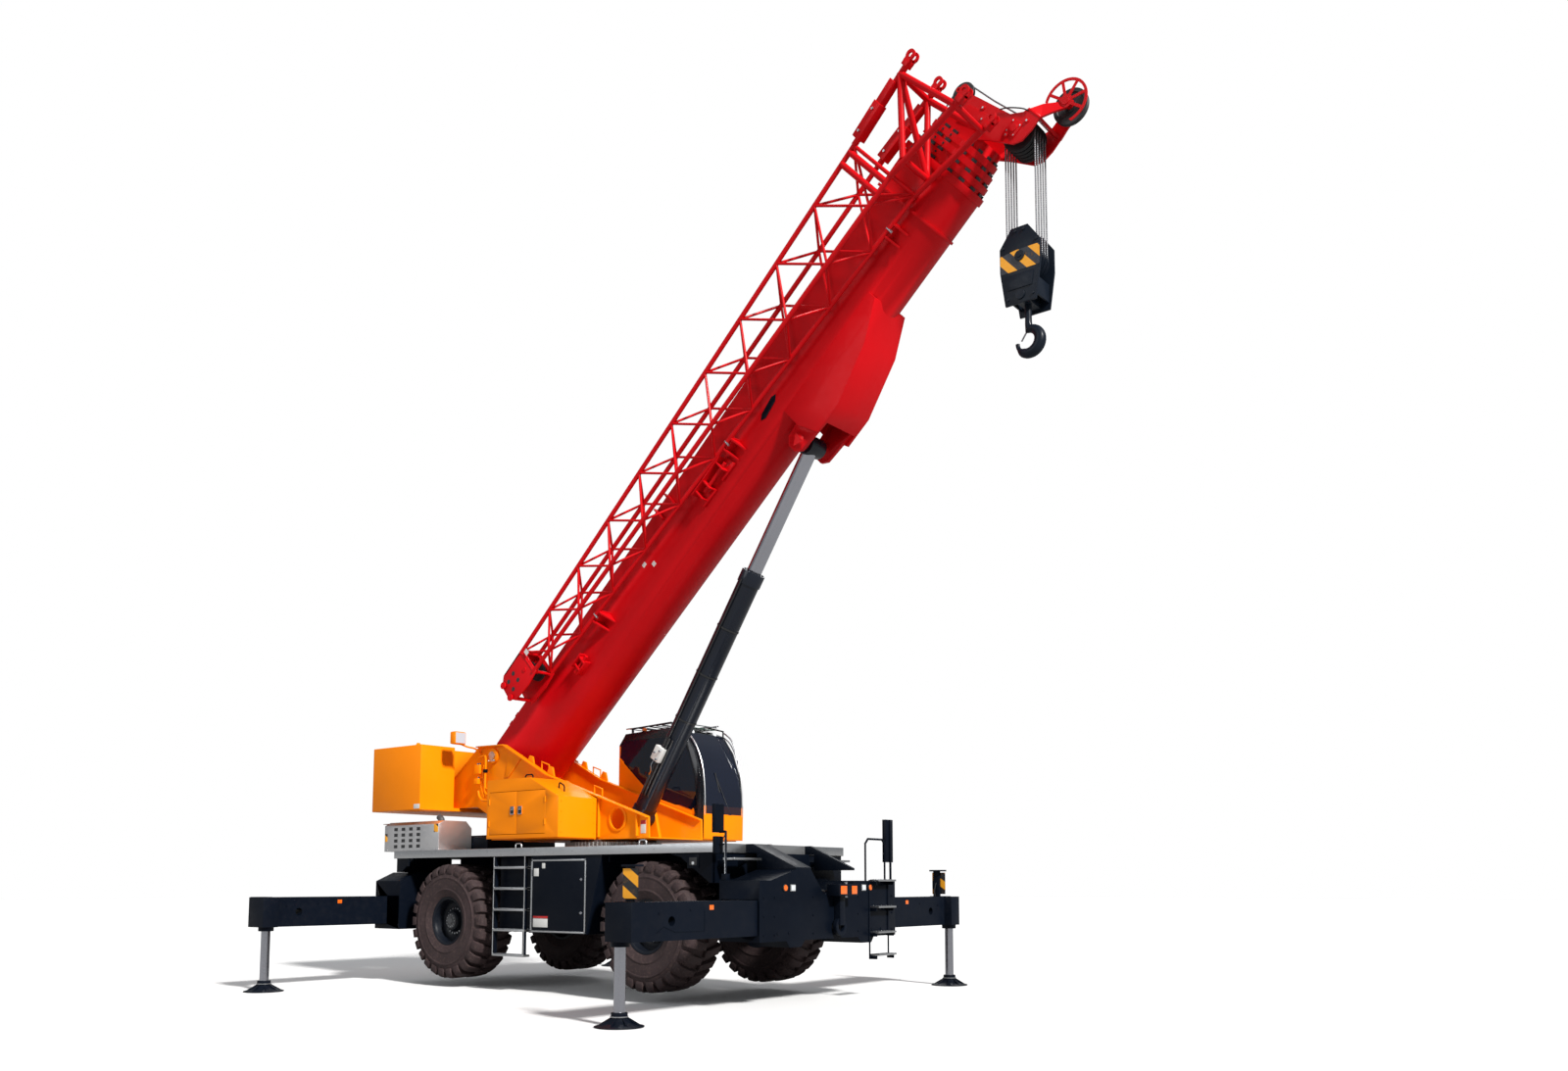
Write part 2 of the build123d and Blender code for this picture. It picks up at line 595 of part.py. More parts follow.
def cabinet_outline():
    return [(CABINET_REAR, 2400), (CABINET_FRONT, 2400), (CABINET_FRONT, 3030), (-360, CABINET_TOP),
            (CABINET_REAR, CABINET_TOP)]


def cabinet():
    """Hollow valve cabinet on the right, open where its two doors hang."""
    shell = plate_y(cabinet_outline(), -CABINET_OUT, -CABINET_IN)
    inner = [(CABINET_REAR + SHEET, 2400 + SHEET), (CABINET_FRONT - SHEET, 2400 + SHEET), (CABINET_FRONT - SHEET, 3010),
             (-370, CABINET_TOP - SHEET), (CABINET_REAR + SHEET, CABINET_TOP - SHEET)]
    shell -= plate_y(inner, -CABINET_OUT + SHEET, -CABINET_IN - SHEET)
    shell -= block(CABINET_REAR + 60, 20, -CABINET_OUT - 1, -CABINET_OUT + SHEET + 1, 2460, 3150)
    for x in (CABINET_REAR + 60 + SEAT, 20 - SEAT):
        for z in (2600, 2950):
            shell -= rod_z(x, -CABINET_OUT, z - 5, z + 95, HINGE_R + PIN_FIT)
    return shell


def cabinet_door(rear):
    """One flush door leaf of the cabinet, with its latch."""
    middle = (CABINET_REAR + 80) / 2
    x0, x1 = (CABINET_REAR + 60 + SEAT, middle - 4) if rear else (middle + 4, 20 - SEAT)
    leaf = block(x0, x1, -CABINET_OUT, -CABINET_OUT + SHEET, 2468, 3142)
    latch_x = x1 - 90 if rear else x0 + 90
    pin_x = x0 if rear else x1
    pieces = [leaf, block(latch_x - 45, latch_x + 45, -CABINET_OUT - 12, -CABINET_OUT, 2780, 2900)]
    for z in (2600, 2950):
        pieces.append(rod_z(pin_x, -CABINET_OUT, z, z + 90, HINGE_R))
    return joined(pieces)


def cab_outline(inset):
    """Cab side outline, every edge moved in by inset."""
    points = [(CAB_REAR, 2400), (1390, 2400), (1400, 2950), (1340, 3450), (1180, 3880), (960, 4180), (700, CAB_TOP),
              (-400, CAB_TOP - 40), (CAB_REAR, 4050)]
    face = Polygon(*points, align=None)
    if inset:
        face = offset(face, -inset)
    return face


def cab_block(inset, y0, y1):
    face = Plane.XZ * cab_outline(inset)
    return Pos(0, y0, 0) * extrude(face, y1 - y0, dir=(0, 1, 0))


def cab_windows():
    """Cutters for the cab's window openings."""
    side = [(-430, 3050), (1150, 2960), (1240, 2980), (1190, 3420), (1040, 3820), (880, 4060), (-350, 4120),
            (-440, 3980)]
    return [
        plate_y(side, CAB_IN - 10, CAB_IN + CAB_WALL + 10),
        block(1000, 1500, CAB_IN + 90, CAB_OUT - 90, 2960, 4080),
        block(-350, 850, CAB_IN + 120, CAB_OUT - 120, 4150, 4400),
        block(CAB_REAR - 10, CAB_REAR + CAB_WALL + 10, CAB_IN + 120, CAB_OUT - 120, 3150, 3950),
    ]


def cab_doorway(grow):
    return plate_y([(-250 - grow, 2520 - grow), (830 + grow, 2520 - grow), (930 + grow, 3000), (850 + grow, 3900 + grow),
                    (700, 4120 + grow), (-250 - grow, 4120 + grow)], CAB_OUT - CAB_WALL - 10, CAB_OUT + 10)


def cab_shell():
    """Hollow cab with its window openings and the doorway on its left."""
    shell = cab_block(0, CAB_IN, CAB_OUT) - cab_block(CAB_WALL, CAB_IN + CAB_WALL, CAB_OUT - CAB_WALL)
    for cutter in cab_windows():
        shell -= cutter
    return joined([shell - cab_doorway(0), *cab_guard()])


def cab_glass():
    """Panes set in the cab's openings."""
    skin = cab_block(15, CAB_IN + 15, CAB_OUT - 15) - cab_block(25, CAB_IN + 25, CAB_OUT - 25)
    panes = []
    for cutter in cab_windows():
        panes += (skin & cutter).solids()
    return Compound(children=panes)


def cab_door():
    """Sliding door that runs back outside the cab wall."""
    leaf = plate_y([(-290, 2480), (860, 2480), (965, 3000), (885, 3930), (730, 4160), (-290, 4160)], CAB_OUT + 6,
                   CAB_OUT + 46)
    leaf -= plate_y([(-200, 3050), (870, 3050), (800, 3880), (680, 4070), (-200, 4070)], CAB_OUT, CAB_OUT + 50)
    leaf = joined([leaf, block(-100, 600, CAB_OUT + SEAT, CAB_OUT + 40, 4130, 4158)])
    pane = plate_y([(-200, 3050), (870, 3050), (800, 3880), (680, 4070), (-200, 4070)], CAB_OUT + 20, CAB_OUT + 30)
    return leaf, pane


def cab_seat():
    """Driver's seat, armrest consoles and dashboard."""
    pieces = [block(100, 600, 900, 1400, 2450, 2850), block(60, 620, 880, 1420, 2850, 2980),
              plate_y([(40, 2980), (160, 2980), (60, 3650), (-60, 3650)], 900, 1400)]
    pieces.append(plate_y([(1000, 2450), (1200, 2450), (1250, 2900), (1150, 3060), (1050, 3020)], 950, 1350))
    return Compound(children=[joined(pieces[:3]), pieces[3]])


def cab_guard():
    """Roof guard bars and handrail."""
    pieces = []
    for y in (CAB_IN + 60, CAB_OUT - 60):
        pieces.append(path_bar([(-300, y, CAB_TOP - 40), (-300, y, CAB_TOP + 50), (600, y, CAB_TOP + 90),
                                (1000, y, CAB_TOP - 10), (1000, y, CAB_TOP - 140)], 14))
    for x in (-200, 100, 400):
        pieces.append(bar((x, CAB_IN + 60, CAB_TOP + 60), (x, CAB_OUT - 60, CAB_TOP + 60), 12))
    return pieces


def ram_barrel():
    """Luffing cylinder's barrel, with its base eye."""
    tube = rod_x(200, RAM_BARREL, 0, 0, RAM_R) - rod_x(201, RAM_BARREL - 150, 0, 0, RAM_R - 27)
    tube -= rod_x(RAM_BARREL - 151, RAM_BARREL + 1, 0, 0, ROD_R + PIN_FIT)
    gland = rod_x(RAM_BARREL - 200, RAM_BARREL, 0, 0, RAM_R + 14) - rod_x(RAM_BARREL - 201, RAM_BARREL + 1, 0, 0, RAM_R - 1)
    eye = rod_y(0, -195, 195, 0, 130)
    whole = joined([tube, gland, eye, block(0, 201, -150, 150, -120, 120)])
    whole -= rod_y(0, -200, 200, 0, RAM_PIN_R + PIN_FIT)
    return ram_place() * whole


def rod_inner():
    """Where the rod's inner end lies along the cylinder at rest."""
    return 330 + RAM_STROKE_IN


def ram_piston():
    return ram_place() * rod_x(rod_inner() - 101, rod_inner() - 1, 0, 0, RAM_R - 27 - PIN_FIT)


def ram_rod():
    """Chromed rod with its eye and the half pin inside the boom's bracket."""
    shaft = rod_x(rod_inner(), RAM_LONG - 60, 0, 0, ROD_R)
    eye = rod_y(RAM_LONG, -EYE_HALF, EYE_HALF, 0, 150)
    return ram_place() * joined([shaft, eye])


def boom_foot_pin():
    return rod_y(FOOT_X, -CHEEK_OUT - 60, CHEEK_OUT + 60, FOOT_Z, FOOT_PIN_R)


def ram_base_pin():
    return rod_y(RAM_X, -285, 285, RAM_Z, RAM_PIN_R)


# ---- boom
def boom_outline(inset):
    """The boom's section: flat top and sides, faceted round belly."""
    half = BOOM_HALF - inset
    knee = BOOM_HALF - BOOM_LOW
    belly = arc_points(0, knee, half, 0, -180, 10)
    return [(half, BOOM_TOP - inset), *belly, (-half, BOOM_TOP - inset)]


def boom_tube(s0, s1, outer, inner):
    """A length of boom between two insets of its section."""
    return plate_x(boom_outline(outer), s0, s1) - plate_x(boom_outline(inner), s0 - 1, s1 + 1)


def section_inset(k):
    return k * (BOOM_WALL + NEST)


def boom_base():
    """Base section with its foot, the cylinder's bracket and the front collar."""
    front = BOOM_FRONT
    pieces = [boom_tube(BOOM_REAR, front, 0, BOOM_WALL),
              boom_tube(front - COLLAR, front, -28, BOOM_WALL + NEST - PIN_FIT),
              boom_tube(front - 700, front - 660, -28, BOOM_WALL)]
    pieces.append(plate_x(boom_outline(1), BOOM_REAR, BOOM_REAR + 15))
    carried = []
    foot = [(BOOM_REAR, BOOM_TOP), (-60, 150), (-140, 60), (-150, -20), (-110, -110), (BOOM_REAR, -420)]
    for side in (-1, 1):
        pieces.append(plate_y(foot, side * (BOOM_HALF - 90), side * BOOM_HALF))
        pieces.append(rod_y(0, side * (BOOM_HALF - 90), side * (CHEEK_OUT - CHEEK_T - 62), 0, FOOT_PIN_R + 70))
        hull = [(7760, -640), (7760, -1000), (7900, -1390), (8390, -1390), (9270, -1120), (9800, -800), (9800, -640)]
        carried.append(plate_y(hull, side * 350, side * 395))
        lug = [(8300, -860), (EYE_S - 60, -960), (EYE_S - 150, -1060), (EYE_S - 150, -1220), (EYE_S - 60, -1310),
               (8300, -1370)]
        carried.append(plate_y(lug, side * 290, side * 350))
        carried.append(rod_y(EYE_S, side * (EYE_HALF + 20), side * 360, EYE_N, 110))
    keel = [(8080, -1390), (8390, -1390), (9270, -1120), (9800, -800), (9800, -760), (9255, -1082), (8380, -1352),
            (8080, -1352)]
    carried.append(plate_y(keel, -395, 395))
    carried.append(plate_y([(8700, -800), (8700, -1240), (8740, -1240), (8740, -800)], -350, 350))
    bracket = joined(carried) - plate_x(boom_outline(BOOM_WALL / 2), EYE_S - 300, EYE_S + 2500)
    whole = joined([*pieces, bracket])
    whole -= rod_y(0, -BOOM_HALF - 200, BOOM_HALF + 200, 0, FOOT_PIN_R + PIN_FIT)
    return boom_place() * whole


def boom_section(k):
    """One telescoping section, seated in the one outside it."""
    rear = BOOM_REAR + 60 + 60 * k
    front = BOOM_FRONT + NOSE_STEP * k
    inset = section_inset(k)
    pieces = [boom_tube(rear, front, inset, inset + BOOM_WALL),
              boom_tube(rear, rear + COLLAR, inset - NEST + PIN_FIT, inset + BOOM_WALL)]
    if k < SECTIONS:
        pieces.append(boom_tube(front - COLLAR + 10, front, inset - NEST, inset + BOOM_WALL + NEST - PIN_FIT))
    else:
        pieces += boom_head(inset, front)
    return boom_place() * joined(pieces)


def boom_head(inset, front):
    """Head at the tip: side plates for the sheaves, and converging arms with the nose sheave's guard."""
    half = BOOM_HALF - inset
    back = front - NOSE_STEP + 30
    top = BOOM_TOP - inset
    cheek = [(back, top), (HEAD_S - 40, top), (HEAD_S + 20, 60), (HEAD_S + 50, -190), (HEAD_S + 110, -800),
             (HEAD_S + 220, -960), (HEAD_S + 300, -1000), (HEAD_S + 300, -1235), (HEAD_S + 110, -1245),
             (HEAD_S - 60, -1220), (HEAD_S - 160, -1130), (HEAD_S - 290, -760), (back, -420)]
    pieces = [plate_x(boom_outline(inset + 1), front - 60, front - 40)]
    for side in (-1, 1):
        pieces.append(plate_y(cheek, side * (half - 30), side * half))
        pieces.append(nose_arm(side, half))
    pieces.append(rod_y(HEAD_S, -half, half, HEAD_N, SHEAVE_PIN_R))
    pieces.append(block(HEAD_S - 60, HEAD_S + 20, -half, half, -40, 0))
    pieces.append(block(HEAD_S + 262, HEAD_S + 298, -half, half, -1200, -1020))
    pieces.append(rod_y(HEAD_S + 30, -half, half, HEAD_N + SHEAVE_R + 60, 30))
    pieces.append(rod_y(NOSE_S, -NOSE_ARM_Y - 60, NOSE_ARM_Y + 10, NOSE_N, SHEAVE_PIN_R))
    pieces.append(nose_guard())
    stand = [(HEAD_S - 160, top - 20), (HEAD_S - 60, TOP_SHEAVE_N + 60), (HEAD_S + 60, TOP_SHEAVE_N + 60),
             (HEAD_S + 60, top - 80)]
    for side in (-1, 1):
        pieces.append(plate_y(stand, side * 32, side * 50))
    pieces.append(block(HEAD_S - 300, HEAD_S - 40, -half, half, top - 30, top))
    pieces.append(rod_y(HEAD_S, -50, 50, TOP_SHEAVE_N, SHEAVE_PIN_R))
    return pieces


def nose_arm(side, half):
    """One plate of the nose arm, leaning in from the cheek to the nose sheave's pin."""
    root = HEAD_S + 280
    lean = math.atan2(half - 15 - NOSE_ARM_Y, NOSE_S - root)
    long = math.hypot(half - 15 - NOSE_ARM_Y, NOSE_S - root)
    outline = [(-15, -1000), (long * 0.45, -1080), (long * 0.8, NOSE_N + 100), (long, NOSE_N + 85),
               (long + 70, NOSE_N + 30), (long + 70, NOSE_N - 40), (long, NOSE_N - 85), (long * 0.4, -1290), (-15, -1240)]
    plate = plate_y(outline, -15, 15)
    return Pos(root, side * (half - 15), 0) * Rot(0, 0, -side * math.degrees(lean)) * plate


def nose_guard():
    """Spoked rim that keeps the rope on the nose sheave."""
    y0, y1 = -NOSE_ARM_Y - 60, -NOSE_ARM_Y - 46
    outer = NOSE_SHEAVE_R + 60
    ring = rod_y(NOSE_S, y0, y1, NOSE_N, outer) - rod_y(NOSE_S, y0 - 1, y1 + 1, NOSE_N, outer - 36)
    ring -= block(NOSE_S - outer - 1, NOSE_S - 150, y0 - 1, y1 + 1, NOSE_N - outer, NOSE_N + outer)
    pieces = [ring, rod_y(NOSE_S, y0, y1, NOSE_N, 90)]
    for angle in (-100, -55, -10, 35, 80):
        spoke = block(60, outer - 20, y0, y1, -18, 18)
        pieces.append(Pos(NOSE_S, 0, NOSE_N) * Rot(0, angle, 0) * spoke)
    return joined(pieces)


def head_sheaves():
    """The sheave on top of the head and the auxiliary one on its nose."""
    top = Pos(HEAD_S, 0, TOP_SHEAVE_N) * Rot(90, 0, 0) * sheave(TOP_SHEAVE_R, 25)
    nose = Pos(NOSE_S, 0, NOSE_N) * Rot(90, 0, 0) * sheave(NOSE_SHEAVE_R, 40)
    return boom_place() * Compound(children=[top, nose])


def sheave(r, width):
    """One rope sheave about Z, with its groove."""
    bore = SHEAVE_PIN_R + 1.0
    return faceted_ring([(bore, -width), (r, -width), (r, 5 - width), (r - GROOVE, -11.5), (r - GROOVE, 11.5), (r, width - 5),
                         (r, width), (bore, width)], 24)


def sheave_rows():
    """Where each hoist sheave stands across the head and the hook block."""
    return [SHEAVE_PITCH * (k - (SHEAVES - 1) / 2) for k in range(SHEAVES)]


def main_sheaves():
    """Hoist sheaves side by side on the head's lower pin."""
    pieces = []
    for y in sheave_rows():
        pieces.append(Pos(SHEAVE_X, y, SHEAVE_Z) * Rot(90, 0, 0) * sheave(SHEAVE_R, 25))
    return Compound(children=pieces)


def hoist_ropes():
    """Falls of rope between the head's sheaves and the hook block's."""
    pieces = []
    for y in sheave_rows():
        for side in (-1, 1):
            x = SHEAVE_X + side * (SHEAVE_R - GROOVE + ROPE_R + SEAT)
            pieces.append(bar((x, y, SHEAVE_Z - HOOK_DROP - 398), (x, y, SHEAVE_Z - 2), ROPE_R))
    return Compound(children=pieces)


def hook_block():
    """Travelling block: side plates about the lower sheaves, with the hook's crosshead below."""
    top = SHEAVE_Z - HOOK_DROP
    pieces = []
    plate = [(SHEAVE_X - 120, top), (SHEAVE_X + 120, top), (SHEAVE_X + 290, top - 240), (SHEAVE_X + 290, top - 560),
             (SHEAVE_X + 220, top - 1040), (SHEAVE_X - 220, top - 1040), (SHEAVE_X - 290, top - 560),
             (SHEAVE_X - 290, top - 240)]
    for side in (-1, 1):
        pieces.append(plate_y(plate, side * 190, side * 220))
    pieces.append(rod_y(SHEAVE_X, -190, 190, top - 400, SHEAVE_PIN_R + 2))
    pieces.append(block(SHEAVE_X - 90, SHEAVE_X + 90, -190, 190, top - 1000, top - 860))
    for y in sheave_rows():
        pieces.append(Pos(SHEAVE_X, y, top - 400) * Rot(90, 0, 0) * sheave(SHEAVE_R, 25))
    whole = joined(pieces)
    whole -= rod_z(SHEAVE_X, 0, top - 1001, top - 859, 45 + PIN_FIT)
    return whole


def hook():
    """Forged hook hanging from the block's crosshead."""
    top = SHEAVE_Z - HOOK_DROP
    stem_top = top - 800
    bowl = top - 1480
    pieces = [rod_z(SHEAVE_X, 0, stem_top - 60, stem_top, 75), rod_z(SHEAVE_X, 0, bowl + 170, stem_top - 60, 45)]
    arc = arc_points(SHEAVE_X, bowl, 165, 95, -170, 9)
    route = [(x, 0, z) for x, z in arc]
    pieces.append(path_bar([(SHEAVE_X, 0, bowl + 260), *route], 62, 8))
    return joined(pieces)


def jib_corner(s, outer, upper):
    """Where one of the jib's four chords runs at s: a point in boom coordinates."""
    share = (s - JIB_START) / (JIB_BAY * JIB_BAYS)
    half = JIB_FOOT_HALF + (JIB_HEAD_HALF - JIB_FOOT_HALF) * share
    low = JIB_FOOT_LOW + (JIB_HEAD_LOW - JIB_FOOT_LOW) * share
    return (s, JIB_Y - half if outer else JIB_Y + half, JIB_TOP if upper else low)


def jib_lattice():
    """Four chords with a zigzag of braces on each face."""
    stations = [JIB_START + JIB_BAY * k for k in range(JIB_BAYS + 1)]
    corners = [(True, True), (True, False), (False, False), (False, True)]
    pieces = []
    for outer, upper in corners:
        pieces.append(bar(jib_corner(stations[0] - 40, outer, upper), jib_corner(stations[-1] + 30, outer, upper),
                          CHORD_R))
    for i in range(4):
        first, second = (corners[i], corners[(i + 1) % 4]) if i % 2 == 0 else (corners[(i + 1) % 4], corners[i])
        for a, b in zip(stations, stations[1:]):
            middle = jib_corner((a + b) / 2, *second)
            pieces.append(bar(jib_corner(a, *first), middle, BRACE_R, 4))
            pieces.append(bar(middle, jib_corner(b, *first), BRACE_R, 4))
    end = stations[-1]
    for i in range(4):
        pieces.append(bar(jib_corner(end, *corners[i]), jib_corner(end, *corners[(i + 1) % 4]), CHORD_R * 0.7))
    return pieces


def jib_fork():
    """Wide fork at the boom's head, with two pinned square struts above and an eye at each corner."""
    end = JIB_START + JIB_BAY * JIB_BAYS
    pieces = []
    for side in (-1, 1):
        outer = side < 0
        y = JIB_Y - 50 + side * FORK_HALF
        top, low = (FORK_S - 40, y, FORK_TOP), (FORK_S, y, FORK_LOW)
        apex, foot = (FORK_S - 220, y, FORK_TOP + 15), (FORK_S - 130, y, FORK_LOW + 35)
        pieces.append(bar(jib_corner(end + 90, outer, True), (FORK_S - 330, y, FORK_TOP + 20), CHORD_R * 2, 4))
        pieces.append(bar(jib_corner(end, outer, True), top, FORK_TUBE_R))
        pieces.append(bar(jib_corner(end, outer, False), low, FORK_TUBE_R))
        pieces.append(bar(apex, foot, FORK_TUBE_R))
        pieces.append(bar(apex, jib_corner(end + 250, outer, False), FORK_TUBE_R))
        for x, z in ((FORK_S + 30, FORK_TOP), (FORK_S + 60, FORK_LOW)):
            for face in (-1, 1):
                eye = rod_y(x, y + face * 30, y + face * 60, z, FORK_PIN_R + 40)
                pieces.append(eye - rod_y(x, y - 70, y + 70, z, FORK_PIN_R))
            pieces.append(block(x - 130, x - 55, y - 60, y + 60, z - 50, z + 50))
    y0, y1 = JIB_Y - 50 - FORK_HALF, JIB_Y - 50 + FORK_HALF
    pieces.append(bar((FORK_S - 220, y0, FORK_TOP + 15), (FORK_S - 220, y1, FORK_TOP + 15), FORK_TUBE_R))
    pieces.append(bar((FORK_S - 130, y0, FORK_LOW + 35), (FORK_S - 130, y1, FORK_LOW + 35), FORK_TUBE_R))
    pieces.append(bar(jib_corner(end + 250, True, False), jib_corner(end + 250, False, False), CHORD_R))
    pieces.append(bar((FORK_S - 220, y0, FORK_TOP), jib_corner(end + 250, False, False), CHORD_R * 0.7))
    return pieces


def jib_foot():
    """Plate box with round holes at the jib's small end, with its rope sheave."""
    outline = [(1250, 330), (1400, JIB_TOP + 30), (2000, JIB_TOP + 30), (2000, -100), (1700, -130), (1330, -90),
               (1230, 60)]
    pieces = []
    for y in (JIB_Y - JIB_FOOT_HALF - 20, JIB_Y + JIB_FOOT_HALF - 5):
        plate = plate_y(outline, y, y + 25)
        for s, n in ((1420, 270), (1420, 90), (1590, 290), (1600, 120)):
            plate -= rod_y(s, y - 1, y + 26, n, 40)
        pieces.append(plate)
    y0, y1 = JIB_Y - JIB_FOOT_HALF - 20, JIB_Y + JIB_FOOT_HALF + 20
    pieces.append(block(1430, 2000, y0, y1, JIB_TOP, JIB_TOP + 30))
    for s, n in ((1300, 300), (1290, 20)):
        pieces.append(rod_y(s, y0 - 40, y1 + 30, n, 32))
    pieces.append(rod_y(1820, y0, y1, 130, 40))
    pieces.append(rod_y(1820, JIB_Y - 30, JIB_Y + 30, 130, 150))
    return pieces


def jib_stowage():
    """Brackets that carry the jib on the boom's side."""
    pieces = []
    for s in (3300, 6850, 10600):
        _, y, low = jib_corner(s, False, False)
        pieces.append(block(s - 130, s + 130, -BOOM_HALF, y + 10, low - 60, low - 20))
        for x in (s - 110, s + 80):
            pieces.append(plate_x([(-BOOM_HALF, low - 260), (-BOOM_HALF, low - 30), (y - 30, low - 30), (y - 30, low - 80)],
                                  x, x + 30))
    return pieces


def jib():
    """Lattice jib: foot box, braced chords, the wide fork and its stowage brackets."""
    return boom_place() * joined([*jib_lattice(), *jib_fork(), *jib_foot(), *jib_stowage()])


def write(name, shape):
    """Writes one node, shifted to the row's origin."""
    moved = Pos(-ROW_SHIFT, 0, 0) * shape
    export_step(Compound(children=list(moved.solids())), f"parts/{name}.step")


def main():
    os.makedirs("parts", exist_ok=True)
    write("chassis_frame", chassis_frame())
    write("engine_block", engine_block())
    write("outrigger_boxes", Compound(children=[outrigger_box(True), outrigger_box(False)]))
    for name, side, front, jack_x, beam_x in BEAMS:
        write(f"outrigger_beam_{name}", outrigger_beam(side, front, jack_x, beam_x))
        write(f"jack_{name}", jack(side, jack_x))
        write(f"knuckle_{name}", knuckle(side, front))
        write(f"rim_{name}", rim(side, front))
        write(f"tyre_{name}", tyre(side, front))
    write("deck", deck())
    write("side_lockers", Compound(children=[locker(-1), locker(1)]))
    write("ladders", Compound(children=[ladder(-1), ladder(1)]))
    write("front_fittings", Compound(children=[fairing(), *front_steps(), *front_mirrors()]))
    write("axles", Compound(children=[axle(True), axle(False)]))
    write("slew_ring", slew_ring())
    write("exhaust_hood", engine_hood())
    write("engine_hood", low_hood())
    write("tow_hitch", tow_hitch())
    write("lamps", lamps())
    write("upper_frame", upper_frame())
    write("counterweight", counterweight())
    write("winch_drum", winch())
    write("cabinet", cabinet())
    write("cabinet_door_rear", cabinet_door(True))
    write("cabinet_door_front", cabinet_door(False))
    write("cab_shell", cab_shell())
    write("cab_glass", cab_glass())
    leaf, pane = cab_door()
    write("cab_door", leaf)
    write("cab_door_glass", pane)
    write("cab_seat", cab_seat())
    write("ram_barrel", ram_barrel())
    write("ram_piston", ram_piston())
    write("ram_rod", ram_rod())
    write("boom_foot_pin", boom_foot_pin())
    write("ram_base_pin", ram_base_pin())
    write("boom_base", boom_base())
    for k in range(1, SECTIONS + 1):
        write(f"boom_section_{k}", boom_section(k))
    write("head_sheaves", head_sheaves())
    write("main_sheaves", main_sheaves())
    write("hoist_ropes", hoist_ropes())
    write("hook_block", hook_block())
    write("hook", hook())
    write("jib", jib())


if __name__ == "__main__":
    main()
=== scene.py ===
"""Mobile crane: finishes and fittings for a two-axle rough-terrain crane, laid out as an add-on."""

import json
from math import atan2, cos, pi, radians, sin

import bmesh
import bpy
from bpy.props import FloatProperty, FloatVectorProperty, IntProperty, PointerProperty
from mathutils import Matrix, Vector

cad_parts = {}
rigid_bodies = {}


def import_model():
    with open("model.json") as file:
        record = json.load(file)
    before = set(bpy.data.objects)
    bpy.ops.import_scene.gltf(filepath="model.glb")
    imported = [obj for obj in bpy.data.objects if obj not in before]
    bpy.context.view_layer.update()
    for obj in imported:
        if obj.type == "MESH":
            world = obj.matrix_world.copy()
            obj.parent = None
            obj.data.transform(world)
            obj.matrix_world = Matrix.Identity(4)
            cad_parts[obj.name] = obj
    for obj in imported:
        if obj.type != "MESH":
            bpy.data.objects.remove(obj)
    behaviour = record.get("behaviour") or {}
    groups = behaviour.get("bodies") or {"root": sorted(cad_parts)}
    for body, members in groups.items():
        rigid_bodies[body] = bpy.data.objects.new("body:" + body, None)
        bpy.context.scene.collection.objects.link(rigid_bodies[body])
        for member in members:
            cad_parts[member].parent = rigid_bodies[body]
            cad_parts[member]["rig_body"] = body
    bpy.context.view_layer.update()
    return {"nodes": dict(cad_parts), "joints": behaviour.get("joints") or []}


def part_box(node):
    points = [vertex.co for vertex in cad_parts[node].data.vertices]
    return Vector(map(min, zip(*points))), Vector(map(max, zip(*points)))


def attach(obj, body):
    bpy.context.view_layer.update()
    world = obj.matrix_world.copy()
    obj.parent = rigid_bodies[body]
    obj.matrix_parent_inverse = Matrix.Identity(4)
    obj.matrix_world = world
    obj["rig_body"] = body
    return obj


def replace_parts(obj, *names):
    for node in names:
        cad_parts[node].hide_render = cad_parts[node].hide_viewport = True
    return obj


bl_info = {
    "name": "Mobile Crane",
    "version": (1, 0, 0),
    "blender": (4, 5, 0),
    "location": "3D View > Sidebar > Crane",
    "description": "Dresses a two-axle rough-terrain crane with its finishes and fittings",
    "category": "Object",
}

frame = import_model()


# ---- places, read from the frame
def middle(node):
    """Centre of a node's box."""
    lo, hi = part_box(node)
    return (Vector(lo) + Vector(hi)) / 2


def joint_row(name):
    """A joint of the frame, by its name."""
    return next(row for row in frame["joints"] if row["name"] == name)


SLEW = middle("slew_ring")
FOOT = middle("boom_foot_pin")
RAM_FOOT = middle("ram_base_pin")
HEAD = middle("main_sheaves")
LUFF = radians(-joint_row("luff_lower")["range_deg"][0])
SIDES = (("right", -1), ("left", 1))
CORNERS = [(f"{end}_{side}", end == "front", sign) for end in ("front", "rear") for side, sign in SIDES]


def at_crane(x, y, z):
    """A point measured from the slewing axis, on the ground."""
    return Vector((SLEW.x + x, y, z))


def at_boom(s, y, n):
    """A point measured along the boom from its foot pin, and square to it."""
    return Vector((FOOT.x + s * cos(LUFF) - n * sin(LUFF), y, FOOT.z + s * sin(LUFF) + n * cos(LUFF)))


def at_ram(s, y, n):
    """A point measured along the luffing cylinder from its base pin."""
    lean = RAM_LEAN
    return Vector((RAM_FOOT.x + s * cos(lean) - n * sin(lean), y,
            RAM_FOOT.z + s * sin(lean) + n * cos(lean)))


# Places that several pieces share, in metres: faces are just outside the CAD part's own
LOCKER_FACE = 1.5302
FRONT_FACE = 4.4105
CHEEK_FACE = 0.6202
HOOD_FACE = -1.3505
BOOM_HALF = 0.45
BOOM_TOP = 0.275
SECTION_STEP = 0.032
SHEAVES = 5
SHEAVE_PITCH = 0.075
SHEAVE_RADIUS = 0.235
SHEAVE_GROOVE = 0.032
ROD_EYE = at_boom(7.6, 0, -1.14)
RAM_LEAN = atan2(ROD_EYE.z - RAM_FOOT.z, ROD_EYE.x - RAM_FOOT.x)


